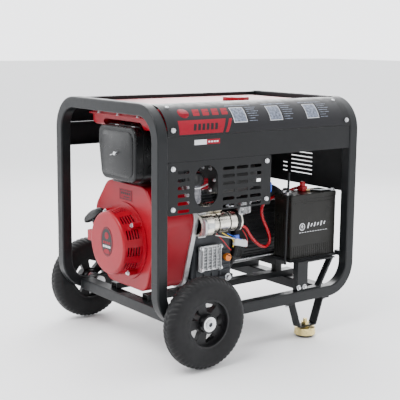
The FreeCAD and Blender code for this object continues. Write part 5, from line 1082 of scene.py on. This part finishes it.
def digit(piece, where, number, size):
    """A seven-stroke figure, only for the dial's numbers."""
    strokes = {0: "abcdef", 1: "bc", 2: "abged", 3: "abgcd", 4: "fgbc", 5: "afgcd", 6: "afgedc", 7: "abc",
               8: "abcdefg", 9: "abcdfg"}
    half, thick = size / 2, size * 0.16
    spots = {"a": (0, size, size, thick), "g": (0, 0, size, thick), "d": (0, -size, size, thick),
             "f": (-half, half, thick, size), "b": (half, half, thick, size),
             "e": (-half, -half, thick, size), "c": (half, -half, thick, size)}
    for letter in strokes[number]:
        x, y, wide, tall = spots[letter]
        piece.slab(rectangle(wide + thick, tall, centre=(x, y)), where, 0, 0.3 * MM)


def control_details():
    """Dial marks, a knob pointer, a voltmeter, stud rings, panel screws and printed lines."""
    low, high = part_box("control_box")
    front = 263 * MM
    prints = Piece("panel_prints")
    knob_low, knob_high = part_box("current_knob")
    knob = (knob_low + knob_high) / 2
    dial = at((knob.x, front, knob.z), (0, 1, 0))
    for k in range(11):
        turn = math.radians(-135 + 27 * k)
        spin = dial @ Matrix.Rotation(-turn, 4, "Z")
        prints.slab(rectangle(1.4 * MM, 5 * MM, centre=(0, 24 * MM)), spin, 0.05 * MM, 0.35 * MM)
        if k % 2 == 0:
            spot = (31 * MM * math.sin(turn), 31 * MM * math.cos(turn), 0.05 * MM)
            digit(prints, dial @ Matrix.Translation(spot), k // 2, 2.4 * MM)
    for number in range(3):
        x = (79.6 + 76 * number) * MM
        stud = at((x, front, 347 * MM), (0, 1, 0))
        prints.slab(rectangle(40 * MM, 1.4 * MM, centre=(0, 22 * MM)), stud, 0.05 * MM, 0.35 * MM)
    prints.slab(rectangle(270 * MM, 1.6 * MM, centre=(0, 0)), at((179 * MM, front, 384 * MM), (0, 1, 0)),
                0.05 * MM, 0.35 * MM)
    prints.slab(rectangle(120 * MM, 1.6 * MM, centre=(0, 0)), at((100 * MM, front, 520 * MM), (0, 1, 0)),
                0.05 * MM, 0.35 * MM)
    prints.done(PRINT_WHITE, "chassis")

    pointer = Piece("knob_pointer")
    pointer.slab(rectangle(2 * MM, 11 * MM, 0.8 * MM, (0, 7 * MM)), at((knob.x, knob_high.y, knob.z), (0, 1, 0)),
                 -0.4 * MM, 0.3 * MM)
    pointer.done(PRINT_WHITE, "current_knob")

    screws = Piece("panel_screws")
    for x in (low.x + 10 * MM, high.x - 10 * MM):
        for z in (low.z + 10 * MM, high.z - 10 * MM):
            screws.screw(at((x, front, z), (0, 1, 0)), 4.5 * MM)
    screws.done(LOOKS["zinc_steel"], "chassis")

    rings = Piece("stud_rings")
    for number in range(3):
        x = (79.6 + 76 * number) * MM
        rings.turned(mm((19, 0), (19, 3), (17.5, 4), (16.4, 4), (16.4, 0)),
                     at((x, front, 347 * MM), (0, 1, 0)), 36)
    rings.done(LOOKS["red_paint"], "chassis")

    meter = Piece("meter_face")
    meter_x = high.x - 1.1 * 48 * MM
    glass = at((meter_x, front + 4.6 * MM, low.z + 210 * MM), (0, 1, 0))
    meter.slab(rectangle(42 * MM, 40 * MM, 3 * MM), glass, 0, 0.6 * MM)
    meter.done(PRINT_WHITE, "chassis")
    marks = Piece("meter_marks")
    for k in range(9):
        turn = math.radians(-48 + 12 * k)
        spin = glass @ Matrix.Translation((0, -12 * MM, 0)) @ Matrix.Rotation(-turn, 4, "Z")
        marks.slab(rectangle(0.9 * MM, 4 * MM, centre=(0, 26 * MM)), spin, 0.6 * MM, 0.8 * MM)
    spin = glass @ Matrix.Translation((0, -12 * MM, 0)) @ Matrix.Rotation(math.radians(10), 4, "Z")
    marks.slab(mm((-0.8, 0), (0.8, 0), (0.2, 26), (-0.2, 26)), spin, 0.6 * MM, 1.0 * MM)
    marks.done(PRINT_DARK, "chassis")


# ---------------------------------------------------------------- scene

def camera():
    """The viewer stands at the near left and looks a little down."""
    yaw, pitch, roll = math.radians(37.21), math.radians(9.71), math.radians(0.53)
    ahead = Vector((math.sin(yaw) * math.cos(pitch), math.cos(yaw) * math.cos(pitch), -math.sin(pitch)))
    level = Vector((math.cos(yaw), -math.sin(yaw), 0))
    above = level.cross(ahead)
    right = level * math.cos(roll) + above * math.sin(roll)
    up = above * math.cos(roll) - level * math.sin(roll)
    data = bpy.data.cameras.new("camera")
    data.sensor_width = 36.0
    data.lens = 84.87
    eye = bpy.data.objects.new("camera", data)
    eye.matrix_world = Matrix.Translation((-1.7005, -2.2069, 0.8648)) @ Matrix(
        (right, up, -ahead)).transposed().to_4x4()
    bpy.context.scene.collection.objects.link(eye)
    bpy.context.scene.camera = eye


def area_light(name, place, target, size, power, colour=(1, 1, 1)):
    data = bpy.data.lights.new(name, "AREA")
    data.shape = "RECTANGLE"
    data.size, data.size_y = size
    data.energy = power
    data.color = colour
    lamp = bpy.data.objects.new(name, data)
    lamp.location = place
    lamp.rotation_mode = "QUATERNION"
    lamp.rotation_quaternion = (Vector(target) - Vector(place)).to_track_quat("-Z", "Y")
    bpy.context.scene.collection.objects.link(lamp)


def studio():
    """A pale floor, a white surround and large soft lights."""
    low, high = CAD_BOX
    centre = (low + high) / 2
    floor = Piece("floor")
    floor.slab(rectangle(60, 60), at((0, 0, low.z - 2 * MM), (0, 0, 1), (0, 1, 0)), -0.01, 0.0)
    pale = look("floor_pale", (0.92, 0.92, 0.925), 0.75, tint=0.01, patch=2.0, grain=300.0, bump=0.01, edge=0.1)
    bmesh.ops.recalc_face_normals(floor.mesh, faces=floor.mesh.faces)
    data = bpy.data.meshes.new("floor")
    floor.mesh.to_mesh(data)
    floor.mesh.free()
    data.materials.append(pale)
    ground = bpy.data.objects.new("floor", data)
    bpy.context.scene.collection.objects.link(ground)
    world = bpy.data.worlds.new("surround")
    bpy.context.scene.world = world
    world.use_nodes = True
    tree = world.node_tree
    sight = tree.nodes.new("ShaderNodeTexCoord")
    toward = tree.nodes.new("ShaderNodeVectorMath")
    toward.operation = "DOT_PRODUCT"
    toward.inputs[1].default_value = (0.60, 0.80, 0.0)
    tree.links.new(sight.outputs["Generated"], toward.inputs[0])
    ramp = tree.nodes.new("ShaderNodeMapRange")
    for socket, number in (("From Min", -0.5), ("From Max", 0.35), ("To Min", 0.5), ("To Max", 3.4)):
        ramp.inputs[socket].default_value = number
    tree.links.new(toward.outputs["Value"], ramp.inputs["Value"])
    tree.nodes["Background"].inputs["Color"].default_value = (0.97, 0.98, 1.0, 1)
    tree.links.new(ramp.outputs["Result"], tree.nodes["Background"].inputs["Strength"])
    area_light("key", (-1.6, -0.4, 2.6), centre, (1.6, 1.6), 85)
    area_light("front", (-0.6, -3.0, 1.5), centre, (2.0, 1.4), 34)
    area_light("rim", (1.8, 2.0, 1.8), centre, (1.2, 1.2), 45)


camera()
battery_lead()
harness()
studio()
dress_frame()
tyre("near")
tyre("far")
cover_print()
recoil_details()
pull_grip()
air_cleaner_details()
starter_details()
end_bracket()
crankcase_details()
window_parts()
top_end_details()
alternator_details()
battery_details()
frame_details()
control_details()
